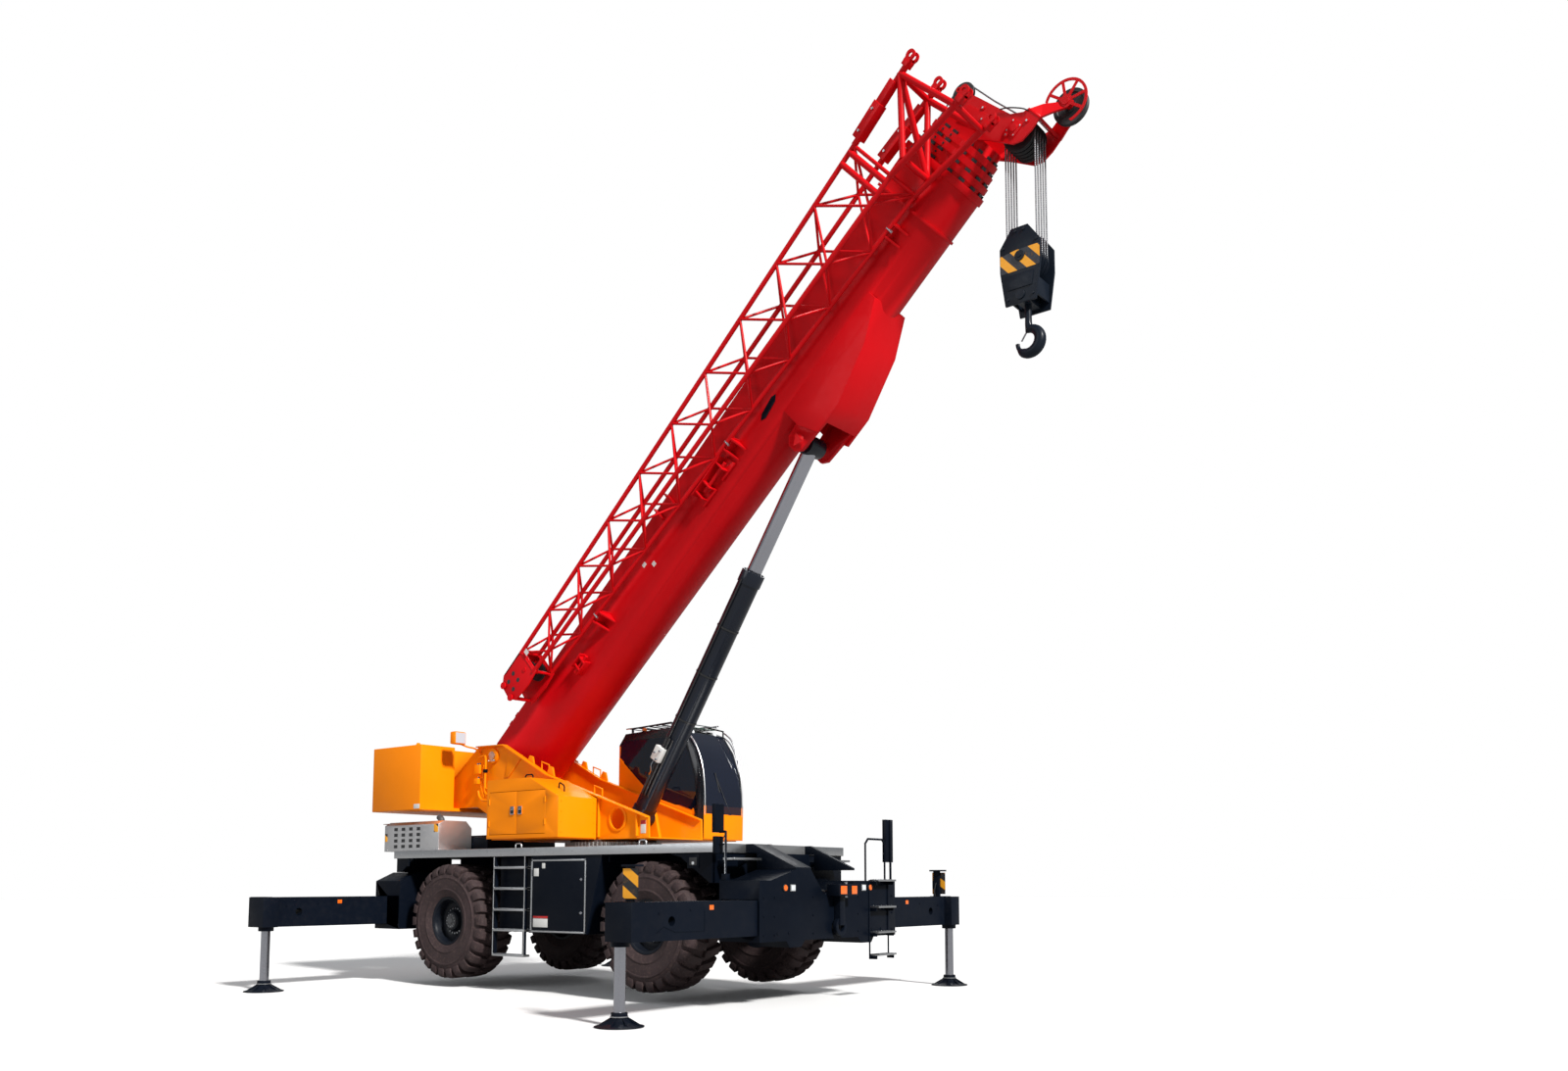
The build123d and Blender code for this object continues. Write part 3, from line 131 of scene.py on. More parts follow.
# ---- mesh tools
class Piece:
    """Gathers one piece's faces, each with the finish in use, then makes its object."""

    def __init__(self, name):
        self.name = name
        self.bm = bmesh.new()
        self.finishes = []
        self.index = 0

    def use(self, paint):
        """The finish for the faces that follow, by its name."""
        finish = PAINTS[paint]
        if finish not in self.finishes:
            self.finishes.append(finish)
        self.index = self.finishes.index(finish)
        return self

    def _faces(self, points, loops, bevel=0.0, smooth=False):
        verts = [self.bm.verts.new(p) for p in points]
        faces = []
        for loop in loops:
            face = self.bm.faces.new([verts[i] for i in loop])
            face.material_index = self.index
            face.smooth = smooth
            faces.append(face)
        if bevel:
            edges = list(dict.fromkeys(edge for face in faces for edge in face.edges))
            made = bmesh.ops.bevel(self.bm, geom=edges, offset=bevel, segments=2, profile=0.6,
                affect="EDGES", clamp_overlap=True)
            for face in made["faces"]:
                face.smooth = True
                face.material_index = self.index
        return faces

    def prism(self, base, run, bevel=0.0):
        """A closed outline of points swept along a vector."""
        count = len(base)
        points = [Vector(p) for p in base] + [Vector(p) + run for p in base]
        area = sum(((points[i] - points[0]).cross(points[i + 1] - points[0]) for i in range(1, count - 1)),
            Vector((0, 0, 0)))
        turn = area.dot(run) > 0
        low, high = list(range(count)), list(range(count, 2 * count))
        loops = [low[::-1] if turn else low, high if turn else high[::-1]]
        for i in range(count):
            j = (i + 1) % count
            quad = [i, j, j + count, i + count]
            loops.append(quad if turn else quad[::-1])
        self._faces(points, loops, bevel)
        return self

    def block(self, x0, x1, y0, y1, z0, z1, place=at_crane, bevel=0.004):
        """A block between two corners, in the coordinates of place."""
        base = [place(x, y, z0) for x, y in ((x0, y0), (x1, y0), (x1, y1), (x0, y1))]
        return self.prism(base, place(x0, y0, z1) - place(x0, y0, z0), bevel)

    def plate_y(self, outline, y0, y1, place=at_crane, bevel=0.003):
        base = [place(a, y0, b) for a, b in outline]
        return self.prism(base, Vector((0, y1 - y0, 0)), bevel)

    def plate_x(self, outline, x0, x1, place=at_crane, bevel=0.003):
        base = [place(x0, a, b) for a, b in outline]
        return self.prism(base, place(x1, 0, 0) - place(x0, 0, 0), bevel)

    def tube(self, points, r, sides=12, closed=False, flat=False):
        """A round bar along a route of points, closed at its ends. r is one radius, or one for each point."""
        points = [Vector(p) for p in points]
        count = len(points)
        rings = []
        axis = None
        for i, p in enumerate(points):
            before = points[i - 1] if i or closed else p
            after = points[(i + 1) % count] if i < count - 1 or closed else p
            a = (p - before).normalized() if (p - before).length > 1e-6 else (after - p).normalized()
            b = (after - p).normalized() if (after - p).length > 1e-6 else a
            way = (a + b).normalized()
            if axis is None:
                axis = way.orthogonal().normalized()
            axis = (axis - way * axis.dot(way)).normalized()
            other = way.cross(axis)
            miter = (a + b) / 2
            stretch = 1 / max(0.5, miter.length)
            bend = (b - a)
            radius = r[i] if isinstance(r, (list, tuple)) else r
            ring = []
            for k in range(sides):
                angle = 2 * pi * (k + 0.5) / sides
                offset = (axis * cos(angle) + other * sin(angle)) * radius
                if bend.length > 1e-4:
                    normal = bend.normalized()
                    offset += normal * offset.dot(normal) * (stretch - 1)
                ring.append(p + offset)
            rings.append(ring)
        flat_points = [p for ring in rings for p in ring]
        loops = []
        last = count if closed else count - 1
        for i in range(last):
            j = (i + 1) % count
            for k in range(sides):
                m = (k + 1) % sides
                loops.append([i * sides + k, i * sides + m, j * sides + m, j * sides + k])
        smooth = sides > 6 and not flat
        caps = [] if closed else [list(range(sides))[::-1], [(count - 1) * sides + k for k in range(sides)]]
        faces = self._faces(flat_points, loops + caps, smooth=smooth)
        for face in faces[len(loops):]:
            face.smooth = False
        return self

    def spin(self, profile, centre, axis, sides=48, smooth=True, closed=True):
        """A ring turned about an axis, from (radius, height) points round its section."""
        axis = Vector(axis).normalized()
        u = axis.orthogonal().normalized()
        v = axis.cross(u)
        centre = Vector(centre)
        count = len(profile)
        points = []
        for k in range(sides):
            a = 2 * pi * k / sides
            way = u * cos(a) + v * sin(a)
            points += [centre + way * radius + axis * height for radius, height in profile]
        loops = []
        following = [*profile[1:], profile[0]]
        twice = sum(a[0] * b[1] - b[0] * a[1] for a, b in zip(profile, following))
        for k in range(sides):
            m = (k + 1) % sides
            for i in range(count if closed else count - 1):
                j = (i + 1) % count
                quad = [k * count + i, m * count + i, m * count + j, k * count + j]
                loops.append(quad if twice > 0 else quad[::-1])
        self._faces(points, loops, smooth=smooth)
        if any(radius < 1e-6 for radius, _ in profile):
            self.bm.verts.ensure_lookup_table()
            fresh = self.bm.verts[len(self.bm.verts) - len(points):]
            axial = [v for v in fresh if (v.co - centre).cross(axis).length < 1e-6]
            bmesh.ops.remove_doubles(self.bm, verts=axial, dist=1e-6)
        return self

    def ring(self, inner, outer, low, high, centre, axis, sides, smooth=True):
        """A plain ring between two radii and two heights."""
        profile = ((inner, low), (outer, low), (outer, high), (inner, high))
        return self.spin(profile, centre, axis, sides, smooth)

    def disc(self, centre, axis, r, thick, sides=32, edge=0.1):
        """A round plate or cap with eased edges, standing on its centre along its axis."""
        axis = Vector(axis).normalized()
        u = axis.orthogonal().normalized()
        v = axis.cross(u)
        centre = Vector(centre)
        ease = min(thick, r) * edge
        rows = [(r - ease, 0), (r, ease), (r, thick - ease), (r - ease, thick)]
        points = []
        for radius, height in rows:
            for k in range(sides):
                a = 2 * pi * k / sides
                points.append(centre + (u * cos(a) + v * sin(a)) * radius + axis * height)
        loops = [list(range(sides))[::-1], [3 * sides + k for k in range(sides)]]
        for row in range(3):
            for k in range(sides):
                m = (k + 1) % sides
                loops.append([row * sides + k, row * sides + m, (row + 1) * sides + m,
                    (row + 1) * sides + k])
        faces = self._faces(points, loops)
        for face in faces[2:]:
            face.smooth = True
        return self

    def take(self, mesh, move=None, smooth=True):
        """Adds a plain mesh's faces in the finish in use."""
        start = len(self.bm.faces)
        self.bm.from_mesh(mesh)
        self.bm.faces.ensure_lookup_table()
        fresh = self.bm.faces[start:]
        for face in fresh:
            face.material_index = self.index
            face.smooth = smooth
        if move is not None:
            bmesh.ops.transform(self.bm, matrix=move, verts=list({v for face in fresh for v in face.verts}))
        return self

    def mesh(self, sharp=35):
        """The piece's faces as a mesh, without an object."""
        mesh = bpy.data.meshes.new(self.name)
        self.bm.normal_update()
        self.bm.to_mesh(mesh)
        self.bm.free()
        for finish in self.finishes:
            mesh.materials.append(finish)
        mark_sharp(mesh, sharp)
        return mesh

    def make(self, body, slot, sharp=35):
        """Makes the piece's object, riding on a body."""
        return settle(self.name, self.mesh(sharp), body)


def settle(name, mesh, body):
    """Links a finished mesh as a piece on a body."""
    obj = bpy.data.objects.new(name.replace(" ", "_"), mesh)
    bpy.context.scene.collection.objects.link(obj)
    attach(obj, body)
    return obj


def placed_copy(name, mesh, centre, body, replaced=()):
    """A copy of a mesh drawn about the origin, moved to a centre, as a piece on a body."""
    own = mesh.copy()
    own.transform(Matrix.Translation(centre))
    obj = settle(name, own, body)
    if replaced:
        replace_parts(obj, *replaced)
    return obj


def mark_sharp(mesh, degrees):
    """Smooth faces keep their creases where they meet at more than an angle."""
    mesh.set_sharp_from_angle(angle=radians(degrees))


def copy_node(name, node, paints, bevel=0.0, sharp=32, pick=None):
    """A merged copy of a CAD node's mesh with eased edges, which stands for that node.

    pick chooses one of several finishes for a face, from its centre and way.
    """
    source = frame["nodes"][node]
    bm = bmesh.new()
    bm.from_mesh(source.data)
    bmesh.ops.remove_doubles(bm, verts=bm.verts, dist=2e-5)
    bmesh.ops.dissolve_limit(bm, angle_limit=radians(1.0), verts=bm.verts, edges=bm.edges)
    if bevel:
        closed = [edge for edge in bm.edges if len(edge.link_faces) == 2 and edge.calc_length() > 3 * bevel]
        hard = [edge for edge in closed if edge.calc_face_angle(0) > radians(40)]
        bmesh.ops.bevel(bm, geom=hard, offset=bevel, segments=2, profile=0.6, affect="EDGES",
            clamp_overlap=True)
    bmesh.ops.triangulate(bm, faces=[face for face in bm.faces if len(face.verts) > 4])
    for face in bm.faces:
        face.smooth = True
        face.material_index = pick(face.calc_center_median(), face.normal) if pick else 0
    mesh = bpy.data.meshes.new(name)
    bm.to_mesh(mesh)
    bm.free()
    for paint in (paints,) if isinstance(paints, str) else paints:
        mesh.materials.append(PAINTS[paint])
    mark_sharp(mesh, sharp)
    obj = settle(name, mesh, source["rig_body"])
    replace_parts(obj, node)
    return obj


def paint_node(node, paint):
    """Gives a CAD node that stays its finish."""
    finish = PAINTS[paint]
    mesh_object = frame["nodes"][node]
    if not mesh_object.material_slots:
        mesh_object.data.materials.append(finish)
    for holder in mesh_object.material_slots:
        holder.material = finish


def turns(count):
    """Angles of one even round."""
    return [2 * pi * k / count for k in range(count)]


def on(place, *points):
    """Points in the coordinates of place."""
    return [place(*point) for point in points]


def curve_points(points, steps=8):
    """A smooth line through points."""
    points = [Vector(p) for p in points]
    route = []
    for i in range(len(points) - 1):
        p0 = points[max(i - 1, 0)]
        p1, p2 = points[i], points[i + 1]
        p3 = points[min(i + 2, len(points) - 1)]
        for k in range(steps):
            t = k / steps
            square = (2 * p0 - 5 * p1 + 4 * p2 - p3) * t * t
            cube = (3 * p1 - p0 - 3 * p2 + p3) * t ** 3
            route.append(0.5 * (2 * p1 + (p2 - p0) * t + square + cube))
    return [*route, points[-1]]


# ---- Geometry Nodes: what repeats
def node_tree(name, sockets):
    """An empty Geometry Nodes tree with named inputs, ready for its nodes."""
    tree = bpy.data.node_groups.new(name, "GeometryNodeTree")
    tree.interface.new_socket("Geometry", in_out="INPUT", socket_type="NodeSocketGeometry")
    for label, kind, default in sockets:
        socket = tree.interface.new_socket(label, in_out="INPUT", socket_type=kind)
        if default is not None:
            socket.default_value = default
    tree.interface.new_socket("Geometry", in_out="OUTPUT", socket_type="NodeSocketGeometry")
    return tree, tree.nodes.new("NodeGroupInput"), tree.nodes.new("NodeGroupOutput")


def wire(tree, rows):
    """Links sockets, from (node, output, node, input) rows."""
    for start, out, stop, into in rows:
        tree.links.new(start.outputs[out], stop.inputs[into])


def finish_tree(tree, instances, entry, leave):
    """Ends a tree in Realize Instances and Set Material."""
    real = tree.nodes.new("GeometryNodeRealizeInstances")
    paint = tree.nodes.new("GeometryNodeSetMaterial")
    tree.links.new(instances, real.inputs[0])
    tree.links.new(real.outputs[0], paint.inputs["Geometry"])
    tree.links.new(entry.outputs["Finish"], paint.inputs["Material"])
    tree.links.new(paint.outputs[0], leave.inputs[0])


def heads_tree():
    """Bolt heads on a mesh's points, each turned to the point's own direction."""
    tree, entry, leave = node_tree("Bolt Heads", (
        ("Radius", "NodeSocketFloat", 0.012), ("Height", "NodeSocketFloat", 0.01),
        ("Sides", "NodeSocketInt", 6), ("Finish", "NodeSocketMaterial", None)))
    head = tree.nodes.new("GeometryNodeMeshCylinder")
    lift = tree.nodes.new("GeometryNodeTransform")
    up = tree.nodes.new("ShaderNodeCombineXYZ")
    half = tree.nodes.new("ShaderNodeMath")
    half.operation = "MULTIPLY"
    half.inputs[1].default_value = 0.5
    spread = tree.nodes.new("GeometryNodeInstanceOnPoints")
    way = tree.nodes.new("GeometryNodeInputNamedAttribute")
    way.data_type = "FLOAT_VECTOR"
    way.inputs["Name"].default_value = "way"
    turn = tree.nodes.new("FunctionNodeAlignRotationToVector")
    turn.axis = "Z"
    wire(tree, ((entry, "Sides", head, "Vertices"), (entry, "Radius", head, "Radius"),
        (entry, "Height", head, "Depth"), (entry, "Height", half, 0), (half, 0, up, "Z"),
        (head, "Mesh", lift, "Geometry"), (up, 0, lift, "Translation"),
        (entry, "Geometry", spread, "Points"), (lift, 0, spread, "Instance"),
        (way, "Attribute", turn, "Vector"), (turn, 0, spread, "Rotation")))
    finish_tree(tree, spread.outputs[0], entry, leave)
    return tree


def scatter_tree():
    """A shape repeated about an axis, a set number of times, each copy turned by one step."""
    tree, entry, leave = node_tree("Round The Wheel", (
        ("Count", "NodeSocketInt", 26), ("Start", "NodeSocketFloat", 0.0),
        ("Finish", "NodeSocketMaterial", None)))
    line = tree.nodes.new("GeometryNodeMeshLine")
    line.inputs["Offset"].default_value = (0, 0, 0)
    spread = tree.nodes.new("GeometryNodeInstanceOnPoints")
    number = tree.nodes.new("GeometryNodeInputIndex")
    step = tree.nodes.new("ShaderNodeMath")
    step.operation = "DIVIDE"
    step.inputs[0].default_value = 2 * pi
    angle = tree.nodes.new("ShaderNodeMath")
    angle.operation = "MULTIPLY_ADD"
    turn = tree.nodes.new("ShaderNodeCombineXYZ")
    wire(tree, ((entry, "Count", line, "Count"), (line, 0, spread, "Points"),
        (entry, "Geometry", spread, "Instance"), (entry, "Count", step, 1), (number, 0, angle, 0),
        (step, 0, angle, 1), (entry, "Start", angle, 2), (angle, 0, turn, "Y"),
        (turn, 0, spread, "Rotation")))
    finish_tree(tree, spread.outputs[0], entry, leave)
    return tree


def lace_tree():
    """Round bars along a mesh's edges, as for lattice bracing and rails."""
    tree, entry, leave = node_tree("Lattice Bars", (
        ("Radius", "NodeSocketFloat", 0.02), ("Sides", "NodeSocketInt", 10),
        ("Finish", "NodeSocketMaterial", None)))
    line = tree.nodes.new("GeometryNodeMeshToCurve")
    ring = tree.nodes.new("GeometryNodeCurvePrimitiveCircle")
    sweep = tree.nodes.new("GeometryNodeCurveToMesh")
    sweep.inputs["Fill Caps"].default_value = True
    wire(tree, ((entry, "Geometry", line, 0), (entry, "Sides", ring, "Resolution"),
        (entry, "Radius", ring, "Radius"), (line, 0, sweep, "Curve"), (ring, 0, sweep, "Profile Curve")))
    finish_tree(tree, sweep.outputs[0], entry, leave)
    return tree


def grown(name, mesh, kind, inputs):
    """Runs a tree on a mesh and gives the result as a plain mesh."""
    tree, values = TREES[kind], {**inputs, "Finish": PAINTS[inputs["Finish"]]}
    seed = bpy.data.objects.new(name, mesh)
    bpy.context.scene.collection.objects.link(seed)
    modifier = seed.modifiers.new("Grow", "NODES")
    modifier.node_group = tree
    for item in tree.interface.items_tree:
        if item.item_type == "SOCKET" and item.in_out == "INPUT" and item.name in values:
            modifier[item.identifier] = values[item.name]
    graph = bpy.context.evaluated_depsgraph_get()
    graph.update()
    result = bpy.data.meshes.new_from_object(seed.evaluated_get(graph), depsgraph=graph)
    bpy.data.objects.remove(seed)
    result.name = name
    return result


def grow(name, mesh, kind, inputs, body):
    """Runs a tree on a mesh and keeps the result as a plain piece on a body."""
    result = grown(name, mesh, kind, inputs)
    for face in result.polygons:
        face.use_smooth = True
    mark_sharp(result, 30)
    return settle(name, result, body)


def spots_mesh(name, spots):
    """A mesh of loose points, each with a direction, from (point, direction) pairs."""
    mesh = bpy.data.meshes.new(name)
    mesh.from_pydata([tuple(point) for point, _ in spots], [], [])
    ways = mesh.attributes.new("way", "FLOAT_VECTOR", "POINT")
    for i, (_, way) in enumerate(spots):
        ways.data[i].vector = way
    return mesh


def bolts(name, spots, r, height, finish, body, sides=6):
    """Bolt heads at (point, direction) pairs."""
    mesh = spots_mesh(name, spots)
    values = {"Radius": r, "Height": height, "Sides": sides, "Finish": finish}
    return grow(name, mesh, "heads", values, body)


def laced(name, runs, r, finish, body, sides=10):
    """Bars between pairs of points."""
    mesh = bpy.data.meshes.new(name)
    points = [tuple(p) for run in runs for p in run]
    mesh.from_pydata(points, [(2 * i, 2 * i + 1) for i in range(len(runs))], [])
    values = {"Radius": r, "Sides": sides, "Finish": finish}
    return grow(name, mesh, "lace", values, body)


TREES = {}
# ---- finishes
class Finish:
    """A material and its shader, with short ways to feed it from the object's own coordinates."""

    def __init__(self, name):
        self.material = bpy.data.materials.new(name)
        self.material.use_nodes = True
        self.tree = self.material.node_tree
        self.shader = self.tree.nodes["Principled BSDF"]
        self.place = self.tree.nodes.new("ShaderNodeTexCoord").outputs["Object"]

    def node(self, kind, links=(), values=(), **settings):
        """A new node, from its settings and (input, socket) and (input, value) pairs."""
        node = self.tree.nodes.new("ShaderNode" + kind)
        for name, value in settings.items():
            setattr(node, name, value)
        for name, value in values:
            node.inputs[name].default_value = value
        for name, socket in links:
            self.tree.links.new(socket, node.inputs[name])
        return node

    def grain(self, scale, detail=4.0, stretch=None):
        """Noise on the object's own coordinates."""
        vector = self.place
        if stretch:
            vector = self.node("Mapping", [("Vector", vector)], [("Scale", stretch)]).outputs[0]
        values = (("Scale", scale), ("Detail", detail), ("Roughness", 0.55))
        return self.node("TexNoise", [("Vector", vector)], values).outputs["Fac"]

    def ramp(self, value, stops):
        """Colours along a value, from (position, colour) pairs."""
        node = self.node("ValToRGB", [(0, value)])
        elements = node.color_ramp.elements
        while len(elements) < len(stops):
            elements.new(0.5)
        for element, (position, colour) in zip(elements, stops):
            element.position = position
            element.color = (*colour[:3], 1)
        return node.outputs[0]

    def span(self, value, low, high, start=0.3, stop=0.7):
        """A number that runs from low to high as value runs from start to stop."""
        return self.node("MapRange", [(0, value)], enumerate((start, stop, low, high), 1)).outputs[0]

    def wave(self, way, pitch):
        """Rises and falls once in each pitch along a direction."""
        along = self.node("VectorMath", [(0, self.place)], [(1, way)], operation="DOT_PRODUCT")
        return self.node("Math", [(0, along.outputs["Value"])], [(1, pitch / 2)],
                operation="PINGPONG").outputs[0]

    def mixed(self, amount, first, second):
        """A colour between two, by a value. Either may be a plain colour."""
        node = self.node("Mix", [("Factor", amount)], data_type="RGBA")
        for socket, colour in ((node.inputs[6], first), (node.inputs[7], second)):
            if isinstance(colour, tuple):
                socket.default_value = (*colour, 1)
            else:
                self.tree.links.new(colour, socket)
        return node.outputs[2]

    def look(self, colour, rough, **fixed):
        """Feeds the colour and the roughness, and fixes other inputs, named with _ for a space."""
        self.tree.links.new(colour, self.shader.inputs["Base Color"])
        if isinstance(rough, float):
            fixed["Roughness"] = rough
        else:
            self.tree.links.new(rough, self.shader.inputs["Roughness"])
        for name, value in fixed.items():
            self.shader.inputs[name.replace("_", " ")].default_value = value
        return self.material

    def bumps(self, height, distance, strength):
        values = (("Distance", distance), ("Strength", strength))
        node = self.node("Bump", [("Height", height)], values)
        self.tree.links.new(node.outputs[0], self.shader.inputs["Normal"])


def shade(colour, factor):
    """A colour made lighter or darker."""
    return tuple(min(1.0, c * factor) for c in colour)


def enamel(name, colour, rough=0.34, coat=0.35, depth=0.88, dust=0.0, peel=0.0006, shine=0.3):
    """Sprayed machine enamel: faint cloudiness, orange-peel gloss and a little dust in patches."""
    f = Finish(name)
    tint = f.ramp(f.grain(0.9, 5.0), ((0.3, shade(colour, depth)), (0.52, colour),
        (0.75, shade(colour, 1.05))))
    if dust:
        tint = f.mixed(f.span(f.grain(7.0, 8.0), 0.0, dust, 0.48, 0.75), tint, (0.12, 0.105, 0.09))
    f.bumps(f.grain(140.0, 2.0), peel, 0.35)
    return f.look(tint, f.span(f.grain(14.0, 5.0), rough * 0.82, rough * 1.25), Specular_IOR_Level=shine,
            Coat_Weight=coat, Coat_Roughness=0.12)


def bare_metal(name, colour, rough=0.25, brushed=None, scale=40.0, bump=0.0004):
    """Bare or plated metal, with brushing along one direction where it has it."""
    f = Finish(name)
    lines = f.grain(scale, 5.0, brushed)
    f.bumps(lines, bump, 0.4)
    return f.look(f.mixed(f.grain(1.4), shade(colour, 0.8), colour),
            f.span(lines, rough * 0.7, rough * 1.4), Metallic=1.0)


def tyre_rubber(name, colour):
    """Dry brown-black rubber, dusty in patches, with a fine grain."""
    f = Finish(name)
    base = f.ramp(f.grain(3.2, 8.0), ((0.3, shade(colour, 0.72)), (0.55, colour), (0.78,
        shade(colour, 1.5))))
    grit = f.grain(26.0, 8.0)
    f.bumps(f.grain(90.0, 6.0), 0.002, 0.5)
    return f.look(f.mixed(f.span(grit, 0.0, 0.3, 0.5, 0.8), base, (0.19, 0.13, 0.11)),
            f.span(grit, 0.62, 0.9), Specular_IOR_Level=0.3)


def hazard(name, stripe, dark, across, pitch, rough=0.35):
    """Slanted warning stripes, square to one direction of the piece."""
    f = Finish(name)
    edge = f.span(f.wave(across, pitch), 0.0, 1.0, pitch * 0.24, pitch * 0.26)
    scuff = f.grain(22.0, 8.0)
    worn = f.span(scuff, 0.0, 0.35, 0.55, 0.85)
    return f.look(f.mixed(worn, f.mixed(edge, stripe, dark), shade(stripe, 0.55)),
            f.span(scuff, rough, rough * 1.6))


def chequer_plate(name, colour, rough=0.35):
    """Aluminium tread plate: short raised bars that alternate in direction."""
    f = Finish(name)
    rows = []
    for angle, offset in ((pi / 4, 0.0), (-pi / 4, 0.5)):
        values = (("Rotation", (0, 0, angle)), ("Location", (offset, offset, 0)),
            ("Scale", (14.0, 34.0, 14.0)))
        turned = f.node("Mapping", [("Vector", f.place)], values).outputs[0]
        cell = f.node("TexVoronoi", [("Vector", turned)], (("Randomness", 0.0), ("Scale", 1.0)),
            feature="F1")
        rows.append(f.span(cell.outputs["Distance"], 1.0, 0.0, 0.15, 0.34))
    raised = f.node("Math", enumerate(rows), operation="MAXIMUM").outputs[0]
    wear = f.grain(18.0, 6.0)
    tint = f.mixed(raised, shade(colour, 0.72), shade(colour, 1.1))
    f.bumps(raised, 0.004, 0.8)
    return f.look(f.mixed(f.span(wear, 0.0, 0.3, 0.5, 0.8), tint, (0.3, 0.3, 0.3)),
            f.span(wear, rough * 0.8, rough * 1.3), Metallic=0.85)


def wire_rope(name, colour, axis):
    """Laid steel rope: slanting strands along an axis."""
    f = Finish(name)
    strand = f.span(f.wave(axis, 0.022), 0.0, 1.0, 0.001, 0.009)
    f.bumps(strand, 0.003, 0.8)
    return f.look(f.mixed(strand, shade(colour, 0.35), colour), 0.42, Metallic=0.8)


def tinted_glass(name, colour, alpha, rough=0.03):
    """Dark cab glass that shows a little of what is behind it."""
    f = Finish(name)
    haze = f.grain(1.2, 3.0)
    return f.look(f.mixed(haze, shade(colour, 0.75), shade(colour, 1.25)), f.span(haze, rough, rough * 2.2),
            Alpha=alpha, Coat_Weight=0.4, Coat_Roughness=0.02, Specular_IOR_Level=0.45)


def lens(name, colour):
    """Moulded lamp lens with fine ribs."""
    f = Finish(name)
    ribs = f.grain(60.0, 1.0, (1, 0.2, 1))
    f.bumps(ribs, 0.001, 0.6)
    return f.look(f.mixed(ribs, shade(colour, 0.7), colour), 0.12, Coat_Weight=0.8)


def cloth(name, colour):
    """Woven seat cloth."""
    f = Finish(name)
    weave = f.grain(320.0, 2.0)
    f.bumps(weave, 0.001, 0.6)
    return f.look(f.mixed(weave, shade(colour, 0.6), shade(colour, 1.3)), 0.85, Sheen_Weight=0.3)


def plain(name, colour, rough=0.6, speck=60.0):
    """Moulded or painted small part with a fine grain."""
    f = Finish(name)
    speckle = f.grain(speck)
    f.bumps(speckle, 0.0006, 0.4)
    return f.look(f.mixed(speckle, shade(colour, 0.8), shade(colour, 1.1)),
            f.span(speckle, rough * 0.85, rough * 1.15))


def tint(name, text, value):
    """A colour that the panel shows."""
    return FloatVectorProperty(name=name, description=text, subtype="COLOR", default=value, min=0, max=1)


class CraneColours(bpy.types.PropertyGroup):
    """Colours that an owner would choose."""

    boom: tint("Boom red", "Enamel of the boom and jib", (0.62, 0.003, 0.007))
    upper: tint("Upper yellow", "Enamel of the upper and counterweight", (0.96, 0.25, 0.001))
    carrier: tint("Carrier black", "Enamel of the carrier", (0.003, 0.005, 0.01))
    cab_base: tint("Cab base", "Enamel of the cab's lower panels", (0.94, 0.22, 0.001))
    rubber: tint("Tyre rubber", "Colour of the tyres", (0.042, 0.026, 0.027))
    glass: tint("Cab glass", "Tint of the cab's glass", (0.004, 0.007, 0.018))
    stripe: tint("Warning yellow", "Light bands of the warning stripes", (0.95, 0.4, 0.01))
    silver: tint("Deck edge", "Bare aluminium of the deck's edge", (0.62, 0.63, 0.64))


PAINTS = {}


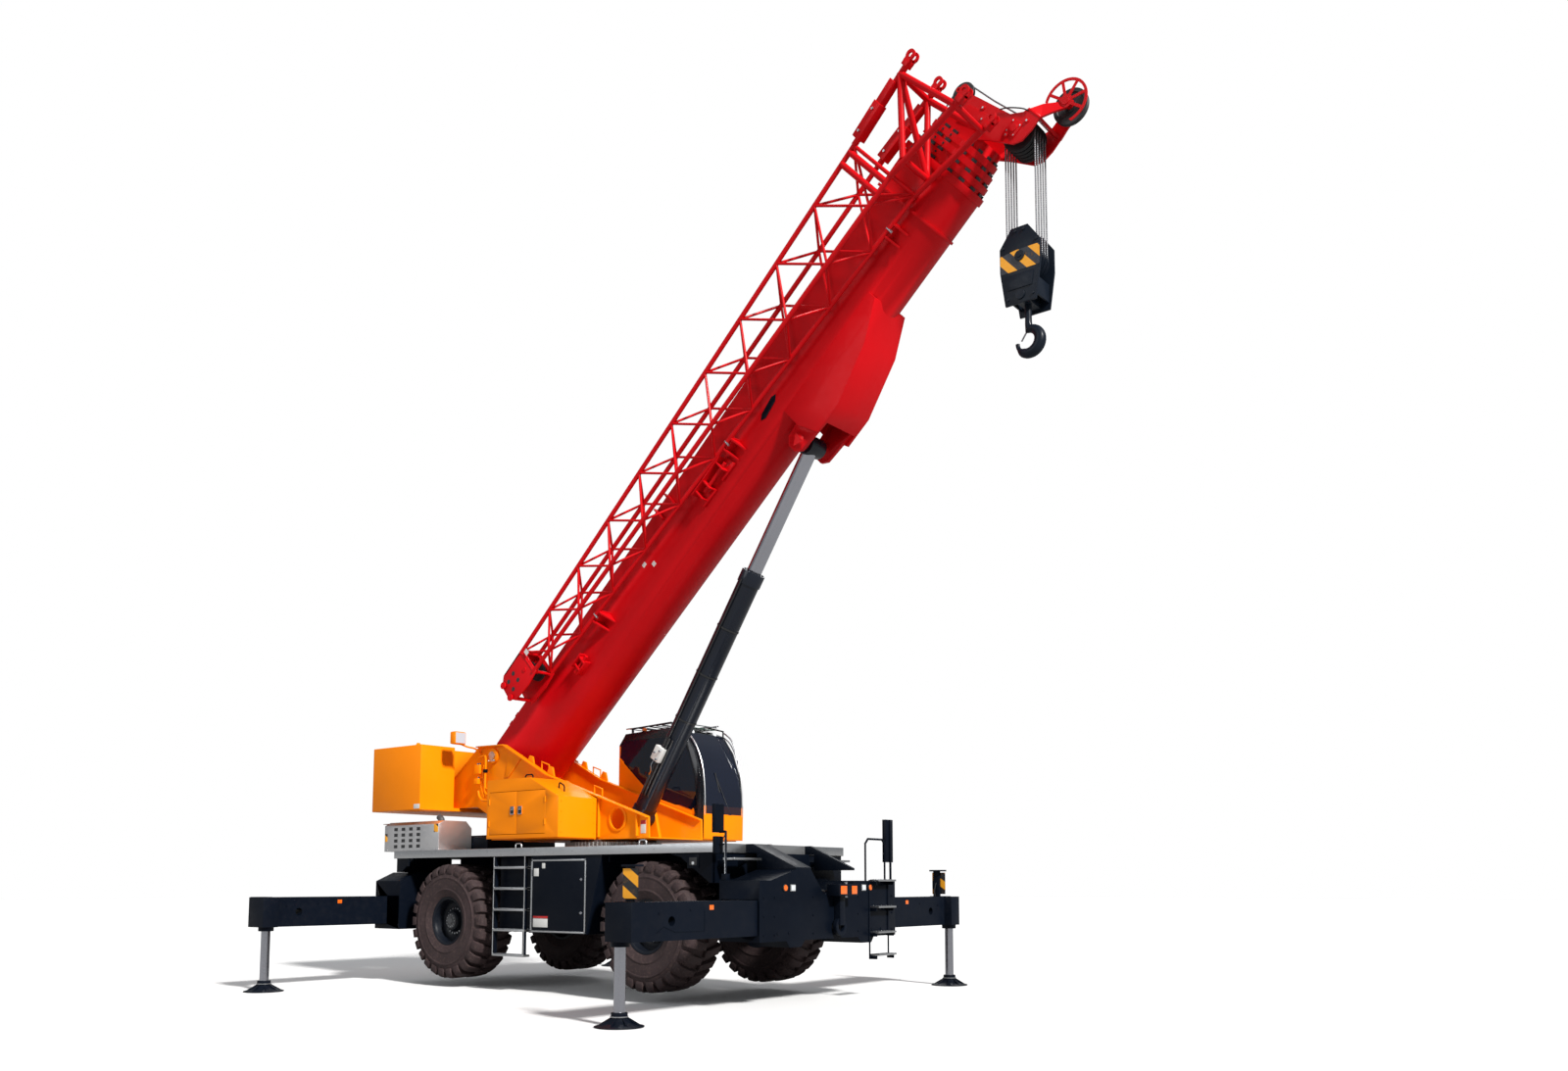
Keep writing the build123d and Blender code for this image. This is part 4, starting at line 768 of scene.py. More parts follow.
def mix_paints(colours):
    """Makes every finish once, by its plain name."""
    boom, upper, dark, cab_base, rubber, glass, stripe, silver = (
        tuple(getattr(colours, name)) for name in CraneColours.__annotations__)
    PAINTS.update(
        red=enamel("Boom Red", boom, 0.42, 0.04, 0.9, shine=0.1),
        yellow=enamel("Upper Yellow", upper, 0.4, 0.05, 0.94, shine=0.1),
        cab_base=enamel("Cab Base Orange", cab_base, 0.38, 0.05, 0.94, shine=0.1),
        black=enamel("Carrier Black", dark, 0.34, 0.02, 0.75, dust=0.01, shine=0.07),
        worn_black=enamel("Worn Black Steel", shade(dark, 1.15), 0.42, 0.02, 0.8, dust=0.02, shine=0.09),
        cab_black=enamel("Cab Black", (0.006, 0.007, 0.01), 0.28, 0.5, 0.8),
        rim_black=enamel("Rim Black", (0.006, 0.008, 0.013), 0.4, 0.05, 0.7, dust=0.04, shine=0.15),
        hook_black=enamel("Hook Black", (0.006, 0.01, 0.018), 0.4, 0.04, 0.7, dust=0.02, shine=0.15),
        barrel_black=enamel("Cylinder Black", (0.007, 0.01, 0.018), 0.3, 0.2, 0.75, shine=0.25),
        rubber=tyre_rubber("Tyre Rubber", rubber),
        silver=bare_metal("Deck Edge Aluminium", silver, 0.34, (0.6, 8, 8), 20.0),
        stainless=bare_metal("Stainless Hood", (0.72, 0.71, 0.71), 0.4, (0.5, 9, 9), 18.0),
        chrome=bare_metal("Chromed Rod", (0.5, 0.51, 0.56), 0.16, None, 30.0, 0.0001),
        steel=bare_metal("Bright Steel", (0.55, 0.56, 0.58), 0.3),
        cast=plain("Cast Steel", (0.06, 0.062, 0.066), 0.55, 35.0),
        gear=bare_metal("Ring Gear Steel", (0.3, 0.29, 0.28), 0.45),
        glass=tinted_glass("Cab Glass", glass, 0.86),
        roof_glass=tinted_glass("Roof Glass", (0.05, 0.14, 0.1), 0.75),
        amber=lens("Amber Lens", (0.9, 0.16, 0.01)),
        ruby=lens("Red Lens", (0.55, 0.01, 0.008)),
        clear=lens("Clear Lens", (0.75, 0.78, 0.8)),
        mirror=enamel("Mirror Face", (0.5, 0.55, 0.6), 0.12, 0.9, peel=0.0001, shine=0.6),
        tread=chequer_plate("Tread Plate", silver),
        rope=wire_rope("Hoist Rope", (0.34, 0.35, 0.37), (0.35, 0.2, 0.91)),
        seat=cloth("Seat Cloth", (0.03, 0.032, 0.036)),
        plastic=plain("Black Plastic", (0.018, 0.018, 0.02), 0.5, 90.0),
        white=plain("White Plate", (0.7, 0.7, 0.68), 0.5, 70.0),
        hose=plain("Pressed Pipe Black", (0.014, 0.014, 0.015), 0.42, 120.0),
        flag=hazard("Post Warning Stripes", stripe, (0.012, 0.012, 0.014), (0.55, 0, 0.835), 0.23),
        hook_stripe=hazard("Hook Warning Stripes", stripe, (0.012, 0.016, 0.025), (0.75, 0, 0.66), 0.2),
    )
    TREES.update(heads=heads_tree(), around=scatter_tree(), lace=lace_tree())


# ---- sizes that a user may change
class CraneSizes(bpy.types.PropertyGroup):
    """Sizes of the fittings that an owner would change."""

    lugs: IntProperty(name="Tread lugs", description="Lugs on each shoulder of a tyre", default=26, min=12,
        max=40)
    wheel_bolts: IntProperty(name="Wheel nuts", description="Nuts round each wheel", default=20, min=6,
        max=32)
    chord: FloatProperty(name="Jib chord radius", description="Radius of the jib's long tubes",
        default=0.036, min=0.01, max=0.08, unit="LENGTH")
    brace: FloatProperty(name="Jib brace radius", description="Radius of the jib's bracing tubes",
        default=0.019, min=0.006, max=0.05, unit="LENGTH")
    rail: FloatProperty(name="Rail radius", description="Radius of rails and grab handles", default=0.014,
        min=0.006, max=0.03, unit="LENGTH")
    rope: FloatProperty(name="Rope radius", description="Radius of the hoist rope", default=0.011,
        min=0.004, max=0.02, unit="LENGTH")


# ---- stage
def stage_camera(scene):
    data = bpy.data.cameras.new("Camera")
    data.sensor_width = 36.0
    data.lens = 28.436
    data.shift_y = 0.1476
    data.clip_end = 400.0
    camera = bpy.data.objects.new("Camera", data)
    scene.collection.objects.link(camera)
    camera.location = (SLEW.x + 14.7007, -14.3752, 1.695)
    heading, rise = 2.2308, 0.0935
    way = Vector((cos(heading) * cos(rise), sin(heading) * cos(rise), sin(rise)))
    camera.rotation_euler = way.to_track_quat("-Z", "Y").to_euler()
    scene.camera = camera


def stage_lights(scene):
    rows = (
        ("Key Light", 5.0, 6, (0.85, -0.24, 0.62), (1.0, 0.985, 0.96)),
        ("Fill Light", 0.5, 30, (-0.35, -0.9, 0.35), (0.95, 0.97, 1.0)),
        ("Rim Light", 0.4, 25, (-0.5, 0.75, 0.7), (1.0, 1.0, 1.0)),
    )
    for name, power, spread, way, tint in rows:
        data = bpy.data.lights.new(name, "SUN")
        data.energy = power
        data.angle = radians(spread)
        data.color = tint
        light = bpy.data.objects.new(name, data)
        scene.collection.objects.link(light)
        light.rotation_euler = Vector(way).to_track_quat("Z", "Y").to_euler()


def stage_floor(scene):
    mesh = bpy.data.meshes.new("Floor")
    half = 120.0
    mesh.from_pydata([(-half, -half, 0), (half, -half, 0), (half, half, 0), (-half, half, 0)], [],
        [(0, 1, 2, 3)])
    material = bpy.data.materials.new("Floor White")
    material.use_nodes = True
    tree = material.node_tree
    shader = tree.nodes["Principled BSDF"]
    shader.inputs["Base Color"].default_value = (0.92, 0.92, 0.92, 1)
    shader.inputs["Roughness"].default_value = 0.9
    shader.inputs["Specular IOR Level"].default_value = 0.1
    glow = tree.nodes.new("ShaderNodeEmission")
    glow.inputs["Strength"].default_value = 0.02
    both = tree.nodes.new("ShaderNodeAddShader")
    tree.links.new(shader.outputs[0], both.inputs[0])
    tree.links.new(glow.outputs[0], both.inputs[1])
    path = tree.nodes.new("ShaderNodeLightPath")
    choice = tree.nodes.new("ShaderNodeMixShader")
    tree.links.new(path.outputs["Is Camera Ray"], choice.inputs[0])
    bounce = tree.nodes.new("ShaderNodeBsdfDiffuse")
    bounce.inputs["Color"].default_value = (0.4, 0.4, 0.4, 1)
    tree.links.new(bounce.outputs[0], choice.inputs[1])
    tree.links.new(both.outputs[0], choice.inputs[2])
    tree.links.new(choice.outputs[0], tree.nodes["Material Output"].inputs["Surface"])
    mesh.materials.append(material)
    floor = bpy.data.objects.new("Floor", mesh)
    scene.collection.objects.link(floor)


def stage_backdrop(scene):
    world = bpy.data.worlds.new("Studio")
    scene.world = world
    world.use_nodes = True
    tree = world.node_tree
    soft = tree.nodes["Background"]
    soft.inputs["Color"].default_value = (0.93, 0.96, 1.0, 1)
    soft.inputs["Strength"].default_value = 0.27
    white = tree.nodes.new("ShaderNodeBackground")
    white.inputs["Color"].default_value = (1, 1, 1, 1)
    white.inputs["Strength"].default_value = 1.0
    path = tree.nodes.new("ShaderNodeLightPath")
    seen = tree.nodes.new("ShaderNodeMath")
    seen.operation = "MAXIMUM"
    tree.links.new(path.outputs["Is Camera Ray"], seen.inputs[0])
    tree.links.new(path.outputs["Is Transmission Ray"], seen.inputs[1])
    choice = tree.nodes.new("ShaderNodeMixShader")
    tree.links.new(seen.outputs[0], choice.inputs[0])
    tree.links.new(soft.outputs[0], choice.inputs[1])
    tree.links.new(white.outputs[0], choice.inputs[2])
    tree.links.new(choice.outputs[0], tree.nodes["World Output"].inputs["Surface"])


class CRANE_OT_stage(bpy.types.Operator):
    """Camera, soft lights, a plain pale floor and a white backdrop"""

    bl_idname = "crane.stage"
    bl_label = "Stage"

    def execute(self, context):
        scene = context.scene
        scene.view_settings.view_transform = "Standard"
        stage_camera(scene)
        stage_lights(scene)
        stage_floor(scene)
        stage_backdrop(scene)
        return {"FINISHED"}


# ---- carrier
class CRANE_OT_finishes(bpy.types.Operator):
    """Mixes the paints and gives each CAD part that stays its own finish"""

    bl_idname = "crane.finishes"
    bl_label = "Finishes"

    def execute(self, context):
        mix_paints(context.scene.crane_colours)
        rows = (("black", ("chassis_frame", "deck", "engine_hood", "side_lockers", "front_fittings",
            "cab_door")), ("cast", ("engine_block", "winch_drum")),
            ("worn_black", ("axles", "ladders", "tow_hitch")), ("gear", ("slew_ring",)),
            ("stainless", ("exhaust_hood",)), ("amber", ("lamps",)),
            ("yellow", ("upper_frame", "counterweight", "cabinet", "cabinet_door_rear",
            "cabinet_door_front")), ("cab_black", ("cab_shell",)),
            ("glass", ("cab_glass", "cab_door_glass")), ("seat", ("cab_seat",)),
            ("barrel_black", ("ram_barrel",)), ("steel", ("ram_piston", "boom_foot_pin", "ram_base_pin")),
            ("chrome", ("ram_rod",)), ("red", ("boom_base", "boom_section_1", "boom_section_2",
            "boom_section_3", "boom_section_4", "jib")), ("rim_black", ("head_sheaves", "main_sheaves")),
            ("rope", ("hoist_ropes",)), ("hook_black", ("hook_block", "hook")),)
        for paint, nodes in rows:
            for node in nodes:
                paint_node(node, paint)
        for corner, _, _ in CORNERS:
            paint_node(f"outrigger_beam_{corner}", "worn_black")
            paint_node(f"jack_{corner}", "chrome")
            paint_node(f"knuckle_{corner}", "cast")
            paint_node(f"rim_{corner}", "rim_black")
            paint_node(f"tyre_{corner}", "rubber")
        paint_node("outrigger_boxes", "black")
        return {"FINISHED"}
# ---- wheels
# Half of the lug's run from the crown to the sidewall: across, height of its top, sweep and half width
LUG_RUN = ((0.012, 0.934, 0.052, 0.05), (0.1, 0.9355, 0.038, 0.056), (0.2, 0.9345, 0.014, 0.062),
    (0.29, 0.928, -0.006, 0.066), (0.332, 0.902, -0.014, 0.067), (0.35, 0.862, -0.016, 0.066),
    (0.356, 0.812, -0.016, 0.062), (0.352, 0.775, -0.016, 0.056))


def tyres_lug(side):
    """One curved lug from the middle of the tread round the shoulder."""
    piece = Piece("Lug").use("rubber")
    points = []
    count = len(LUG_RUN)
    for i, (y, top, sweep, half) in enumerate(LUG_RUN):
        before, after = LUG_RUN[max(i - 1, 0)], LUG_RUN[min(i + 1, count - 1)]
        way = Vector((0, after[0] - before[0], after[1] - before[1])).normalized()
        inward = Vector((0, way.z, -way.y))
        for x, depth in ((-half, 0.0), (half, 0.0), (half + 0.006, 0.07), (-half - 0.006, 0.07)):
            point = Vector((sweep + x, y, top)) + inward * depth
            points.append(Vector((point.x, point.y * side, point.z)))
    loops = [[0, 1, 2, 3], [4 * count - 1, 4 * count - 2, 4 * count - 3, 4 * count - 4]]
    for i in range(count - 1):
        for k in range(4):
            m = (k + 1) % 4
            loops.append([4 * i + k, 4 * (i + 1) + k, 4 * (i + 1) + m, 4 * i + m])
    if side < 0:
        loops = [loop[::-1] for loop in loops]
    piece._faces(points, loops, bevel=0.006)
    bmesh.ops.recalc_face_normals(piece.bm, faces=piece.bm.faces)
    return piece.mesh(sharp=30)


class CRANE_OT_tyres(bpy.types.Operator):
    """Four tyres: rounded carcass, moulding rings and curved shoulder lugs"""

    bl_idname = "crane.tyres"
    bl_label = "Tyres"

    def execute(self, context):
        lugs = context.scene.crane_sizes.lugs
        tyre = Piece("Tyre").use("rubber")
        half = [(0.3725, 0.272), (0.392, 0.3), (0.43, 0.322), (0.5, 0.345), (0.512, 0.353), (0.527, 0.351),
            (0.535, 0.346), (0.61, 0.353), (0.69, 0.354), (0.7, 0.36), (0.716, 0.36), (0.724, 0.351),
            (0.79, 0.335), (0.838, 0.31), (0.868, 0.27), (0.878, 0.2), (0.882, 0.0)]
        outline = half + [(r, -y) for r, y in half[-2::-1]]
        tyre.spin(outline, (0, 0, 0), (0, 1, 0), sides=104)
        for side, start in ((1, 0.0), (-1, pi / lugs)):
            values = {"Count": lugs, "Start": start, "Finish": "rubber"}
            tyre.take(grown("Tread Lugs", tyres_lug(side), "around", values), smooth=False)
        mesh = tyre.mesh(sharp=30)
        for corner, _, _ in CORNERS:
            node = f"tyre_{corner}"
            placed_copy(f"Tyre {corner}", mesh, middle(node), f"wheel_{corner}", (node,))
        return {"FINISHED"}


def rims_rim(side, nuts):
    """The rim about the origin, with its outer face towards side."""
    rim = Piece("Rim").use("rim_black")
    axis = (0, side, 0)
    well = [(0.352, -0.305), (0.394, -0.307), (0.396, -0.292), (0.372, -0.27), (0.371, 0.27),
        (0.396, 0.292), (0.394, 0.307), (0.384, 0.309), (0.376, 0.3), (0.352, 0.292), (0.345, 0.268),
        (0.338, 0.255), (0.338, -0.27)]
    rim.spin(well, (0, 0, 0), axis, sides=72)
    disc = [(0.105, 0.155), (0.11, 0.08), (0.255, 0.08), (0.275, 0.09), (0.34, 0.12), (0.34, 0.145),
        (0.3, 0.142), (0.272, 0.12), (0.235, 0.112), (0.232, 0.13), (0.178, 0.134), (0.17, 0.165),
        (0.162, 0.205), (0.15, 0.218), (0.12, 0.222)]
    rim.spin(disc, (0, 0, 0), axis, sides=72)
    rim.use("cast").disc((0, side * 0.15, 0), axis, 0.124, 0.086, 40, 0.08)
    rim.disc((0, side * 0.236, 0), axis, 0.05, 0.016, 24)
    rim.use("steel")
    ring = [(Vector((cos(a) * 0.205, side * 0.128, sin(a) * 0.205)), Vector(axis)) for a in turns(nuts)]
    rim.take(grown("Wheel Nuts", spots_mesh("Nut Spots", ring), "heads",
        {"Radius": 0.015, "Height": 0.024, "Sides": 6, "Finish": "steel"}), smooth=False)
    ring = [(Vector((cos(a) * 0.098, side * 0.235, sin(a) * 0.098)), Vector(axis)) for a in turns(12)]
    rim.take(grown("Hub Bolts", spots_mesh("Hub Spots", ring), "heads",
        {"Radius": 0.009, "Height": 0.01, "Sides": 6, "Finish": "steel"}), smooth=False)
    rim.tube([(0.3, side * 0.14, 0.05), (0.315, side * 0.19, 0.05), (0.33, side * 0.215, 0.05)], 0.006, 8)
    return rim.mesh(sharp=32)


class CRANE_OT_rims(bpy.types.Operator):
    """Four rims: flanged well, dished disc, planetary hub with its nuts and plug"""

    bl_idname = "crane.rims"
    bl_label = "Rims"

    def execute(self, context):
        nuts = context.scene.crane_sizes.wheel_bolts
        for _, side in SIDES:
            mesh = rims_rim(side, nuts)
            for corner, _, sign in CORNERS:
                if sign == side:
                    node = f"rim_{corner}"
                    placed_copy(f"Rim {corner}", mesh, middle(node), f"wheel_{corner}",
                        (node,))
        return {"FINISHED"}


# ---- outriggers
def outriggers_beam(corner, is_front, sign):
    node = f"outrigger_beam_{corner}"
    copy_node(f"Beam {corner}", node, "worn_black", 0.006)
    foot = middle(f"jack_{corner}")
    lo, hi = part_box(node)
    base = 1.0
    trim = Piece(f"Beam Fittings {corner}").use("black")

    def at(x, y, z):
        return Vector((x, foot.y + sign * y, z))

    wide = 0.15
    lean = 1 if lo[0] + hi[0] > 2 * foot.x else -1
    centre = (hi[0] - wide) if lean > 0 else (lo[0] + wide)
    for face in (-1, 1):
        x = centre + face * wide
        if face == lean:
            for a, b in (((-0.62, 1.1), (-1.16, 1.1)), ((-1.16, 1.1), (-1.16, 1.36)),
                    ((-0.62, 1.1), (-0.42, 1.17)), ((-0.3, 1.1), (-0.42, 1.17))):
                trim.tube([at(x, a[0], a[1]), at(x, b[0], b[1])], 0.006, 8)
        trim.disc(at(x, -0.34, 1.33), (face, 0, 0), 0.018, 0.006, 16)
        trim.disc(at(x, -0.9, 1.36), (face, 0, 0), 0.014, 0.006, 16)
    trim.block(centre - wide + 0.01, centre + wide - 0.01, -0.1, 0.115, base + 0.4705, base + 0.476, at)
    trim.use("silver")
    for y in (-0.1, 0.1):
        trim.disc(at(foot.x, y, base - 0.004), (0, 0, -1), 0.014, 0.012, 6)
    trim.use("amber").block(centre - lean * (wide + 0.004), centre - lean * wide, -1.33, -1.25, 1.36, 1.42,
        at)
    trim.block(centre + lean * wide, centre + lean * (wide + 0.004), -1.33, -1.25, 1.36, 1.42, at)
    if is_front:
        trim.use("flag")
        x0, x1 = centre - 0.138, centre + 0.108
        trim.block(x0, x1, -0.0225, -0.0202, 1.512, 1.868, at, 0)
        trim.block(x0, x1, -0.0138, -0.0115, 1.512, 1.868, at, 0)
        trim.use("hose").tube(curve_points(on(at, (centre - 0.05, -0.075, 1.478),
            (centre - 0.06, -0.085, 1.55), (centre - 0.05, -0.075, 1.64), (centre - 0.04, -0.062, 1.7))),
            0.009, 8)
    trim.make(f"outrigger_beam_{corner}", "carrier_black")


def outriggers_jack(corner):
    node = f"jack_{corner}"
    foot = middle(node)
    jack = Piece(f"Jack {corner}").use("chrome")
    x, y = foot.x, foot.y
    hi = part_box(node)[1]
    jack.spin([(0.0, 0.13), (0.0698, 0.13), (0.0698, hi[2] - 0.002), (0.0, hi[2] - 0.002)], (x, y, 0),
        (0, 0, 1), 48)
    jack.use("worn_black")
    dish = [(0.0, 0.002), (0.292, 0.002), (0.298, 0.006), (0.298, 0.014), (0.285, 0.018), (0.21, 0.036),
        (0.16, 0.055), (0.125, 0.09), (0.12, 0.098), (0.1, 0.102), (0.1, 0.168), (0.094, 0.172),
        (0.0, 0.172)]
    jack.spin(dish, (x, y, 0), (0, 0, 1), 64)
    for k in range(8):
        a = pi * (k + 0.5) / 4
        way = Vector((cos(a), sin(a), 0))
        side = Vector((-way.y, way.x, 0)) * 0.008
        root = Vector((x, y, 0))
        base = [root + way * 0.095 + Vector((0, 0, 0.02)) - side,
            root + way * 0.27 + Vector((0, 0, 0.018)) - side,
            root + way * 0.1 + Vector((0, 0, 0.12)) - side]
        jack.prism(base, side * 2)
    jack.use("steel").ring(0.101, 0.109, 0.118, 0.13, (x, y, 0), (0, 0, 1), 40)
    obj = jack.make(node, "chrome")
    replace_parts(obj, node)


class CRANE_OT_outriggers(bpy.types.Operator):
    """Outrigger boxes, beams with their ribs, striped plates and jacks on their floats"""

    bl_idname = "crane.outriggers"
    bl_label = "Outriggers"

    def execute(self, context):
        copy_node("Outrigger Boxes", "outrigger_boxes", "black", 0.006)
        for corner, is_front, sign in CORNERS:
            outriggers_beam(corner, is_front, sign)
            outriggers_jack(corner)
        return {"FINISHED"}


# ---- carrier
DECK_EDGE_LOW = 2.117


def deck_arch(x0, x1, y, z0, z1):
    """A U-shaped lug over the deck."""
    r = (x1 - x0) / 2 * 0.5
    return [at_crane(x0, y, z0), at_crane(x0, y, z1 - r),
            *[at_crane(x0 + r - r * cos(a), y, z1 - r + r * sin(a)) for a in (0.5, 1.0, pi / 2)],
            at_crane(x1 - r, y, z1), *[at_crane(x1 - r + r * sin(a), y, z1 - r + r * cos(a))
            for a in (0.5, 1.0)], at_crane(x1, y, z1 - r), at_crane(x1, y, z0)]


class CRANE_OT_deck(bpy.types.Operator):
    """Deck with its bright edge and tread surface, skirts, frame and axles"""

    bl_idname = "crane.deck"
    bl_label = "Deck"

    def execute(self, context):
        def pick(centre, way):
            if centre.z < DECK_EDGE_LOW:
                return 0
            return 2 if way.z > 0.7 else 1

        copy_node("Deck", "deck", ("black", "silver", "tread"), 0.006, pick=pick)
        copy_node("Chassis Frame", "chassis_frame", "black", 0.006)
        copy_node("Axles", "axles", "cast", 0.006)
        copy_node("Engine Hood", "engine_hood", "black", 0.02)
        for corner, _, _ in CORNERS:
            copy_node(f"Knuckle {corner}", f"knuckle_{corner}", "cast", 0.005)
        trim = Piece("Deck Fittings").use("silver")
        for x, y in ((-0.62, -1.47), (2.1, -1.47), (-0.62, 1.47), (2.1, 1.47)):
            trim.tube(deck_arch(x - 0.07, x + 0.07, y, 2.24, 2.315), 0.012, 10)
        trim.use("black")
        for side in (-1, 1):
            y = side * 1.532
            trim.block(-3.42, -3.36, y - side * 0.002, y + side * 0.008, 1.98, 2.1)
            trim.plate_y(((3.03, 1.9), (3.25, 1.9), (3.25, 2.09), (3.03, 2.09)), y, y + side * 0.006)
            trim.use("plastic").block(3.07, 3.21, y + side * 0.006, y + side * 0.009, 1.94, 2.05)
            trim.use("clear").disc((SLEW.x + 3.14, y + side * 0.009, 1.97), (0, side, 0), 0.022, 0.005, 20)
            trim.use("black")
        trim.make("carrier", "carrier_black")
        spots = []
        for side in (-1, 1):
            spots += [(at_crane(-3.6 + 0.6 * k, side * 1.5502, 2.18), Vector((0, side, 0)))
                for k in range(12)]
        bolts("Deck Edge Rivets", spots, 0.008, 0.004, "steel", "carrier", 12)
        return {"FINISHED"}


LADDER_TREADS = (0.55, 0.94, 1.26, 1.59, 1.92)


def lockers_door():
    """The locker door in its bright frame, with blank plates, locks and hinges."""
    y = -LOCKER_FACE
    door = Piece("Locker Door").use("black")
    door.plate_y(((-0.2, 0.97), (0.97, 0.97), (0.97, 2.03), (-0.2, 2.03)), y, y - 0.008)
    door.use("silver")
    for x0, x1, z0, z1 in ((-0.23, -0.2, 0.95, 2.06), (0.97, 0.995, 0.95, 2.06),
            (-0.23, 0.995, 2.03, 2.055), (-0.23, 0.995, 0.945, 0.97)):
        door.block(x0, x1, y, y - 0.012, z0, z1, bevel=0.002)
    door.use("white").block(-0.165, -0.055, y - 0.008, y - 0.011, 1.8, 1.92, bevel=0.001)
    door.block(0.02, 0.09, y - 0.008, y - 0.011, 1.92, 2.0, bevel=0.001)
    door.block(-0.165, 0.165, y - 0.008, y - 0.011, 1.02, 1.15, bevel=0.001)
    door.use("ruby").block(-0.165, 0.165, y - 0.008, y - 0.011, 1.155, 1.19, bevel=0.001)
    door.use("chrome")
    for z in (1.25, 1.75):
        door.disc(at_crane(0.9, y - 0.008, z), (0, -1, 0), 0.022, 0.004, 24)
        door.block(0.87, 0.93, y - 0.011, y - 0.0165, z - 0.008, z + 0.008, bevel=0.002)
    for z in (1.15, 1.85):
        door.tube([at_crane(-0.205, y - 0.008, z - 0.05), at_crane(-0.205, y - 0.008, z + 0.05)], 0.009, 12)
    door.make("carrier", "carrier_black")
    spots = [(at_crane(x, y - 0.012, z), Vector((0, -1, 0))) for x in (-0.215, 0.982)
        for z in (1.05, 1.3, 1.55, 1.8, 1.98)]
    bolts("Locker Screws", spots, 0.006, 0.003, "steel", "carrier", 10)


def lockers_tank():
    """The fuel tank's straps, cap, drain and gauge."""
    y = LOCKER_FACE
    tank = Piece("Tank Fittings").use("silver")
    for x in (0.0, 0.7):
        tank.block(x, x + 0.05, y, y + 0.008, 0.94, 2.1, bevel=0.002)
    tank.use("plastic").disc(at_crane(0.35, y, 1.86), (0, 1, 0), 0.07, 0.0185, 36)
    tank.use("chrome").disc(at_crane(0.35, y + 0.0001, 1.2), (0, 1, 0), 0.02, 0.014, 6)
    tank.use("clear").block(0.86, 0.88, y, y + 0.012, 1.2, 1.8, bevel=0.002)
    tank.make("carrier", "carrier_black")


def lockers_ladders():
    def pick(centre, way):
        if abs(centre.y) < 1.405:
            return 0
        for z in LADDER_TREADS:
            if z - 0.003 < centre.z < z + 0.038:
                return 1
        return 0

    copy_node("Ladders", "ladders", ("black", "silver"), 0.003, pick=pick)
    spots = []
    for side in (-1, 1):
        for z in LADDER_TREADS:
            spots += [(at_crane(-1.05 + 0.06 * k, side * y, z + 0.035), Vector((0, 0, 1)))
                for k in range(11) for y in (1.44, 1.475, 1.51)]
    bolts("Tread Studs", spots, 0.008, 0.004, "steel", "carrier", 12)
    rails = Piece("Ladder Grips").use("silver")
    for side in (-1, 1):
        for x in (-1.115, -0.375):
            rails.tube([at_crane(x, side * 1.545, 0.56), at_crane(x, side * 1.545, 2.11)], 0.008, 10)
    rails.make("carrier", "deck_silver")


class CRANE_OT_lockers(bpy.types.Operator):
    """Side locker with its framed door, fuel tank and the two ladders"""

    bl_idname = "crane.lockers"
    bl_label = "Lockers and Ladders"

    def execute(self, context):
        copy_node("Side Lockers", "side_lockers", "black", 0.012)
        lockers_door()
        lockers_tank()
        lockers_ladders()
        return {"FINISHED"}


FRONT_STEPS = (1.72, 1.33, 0.96, 0.63)


def front_surface(centre, way):
    x = centre.x - SLEW.x
    if 3.63 < x < 3.86 and 2.005 < centre.z < 2.045:
        return 1
    if 3.515 < x < 3.56 and -0.5 < centre.y < 0.56:
        return 2
    return 0


def front_mirrors():
    """Mirror faces and the cable behind them."""
    glass = Piece("Mirror Faces").use("mirror")
    face = 3.6005
    for z0, z1, half in ((2.41, 2.74, 0.07), (2.12, 2.31, 0.058)):
        glass.block(face - 0.002, face, -1.58 - half, -1.58 + half, z0, z1, bevel=0.001)
    glass.block(4.278, 4.2795, 1.52, 1.68, 2.06, 2.62, bevel=0.0)
    glass.use("hose").tube(curve_points(on(at_crane, (3.77, -1.58, 2.36), (3.73, -1.585, 2.3),
        (3.71, -1.58, 2.22))), 0.007, 8)
    glass.make("carrier", "carrier_black")


def front_steps():
    steps = Piece("Left Front Steps").use("black")
    face = 4.41
    for y in (0.92, 1.42):
        steps.block(face, face + 0.012, y, y + 0.03, FRONT_STEPS[-1] - 0.05, FRONT_STEPS[0] + 0.02,
            bevel=0.002)
    for z in FRONT_STEPS:
        steps.use("black")
        for y in (0.95, 1.4):
            steps.block(face, face + 0.12, y, y + 0.02, z - 0.05, z, bevel=0.003)
        steps.use("silver").block(face + 0.005, face + 0.165, 0.95, 1.42, z, z + 0.028, bevel=0.004)
    steps.make("carrier", "carrier_black")
    spots = [(at_crane(face + x, 0.99 + 0.07 * k, z + 0.028), Vector((0, 0, 1))) for z in FRONT_STEPS
        for k in range(6) for x in (0.04, 0.085, 0.13)]
    bolts("Step Studs", spots, 0.008, 0.004, "steel", "carrier", 12)


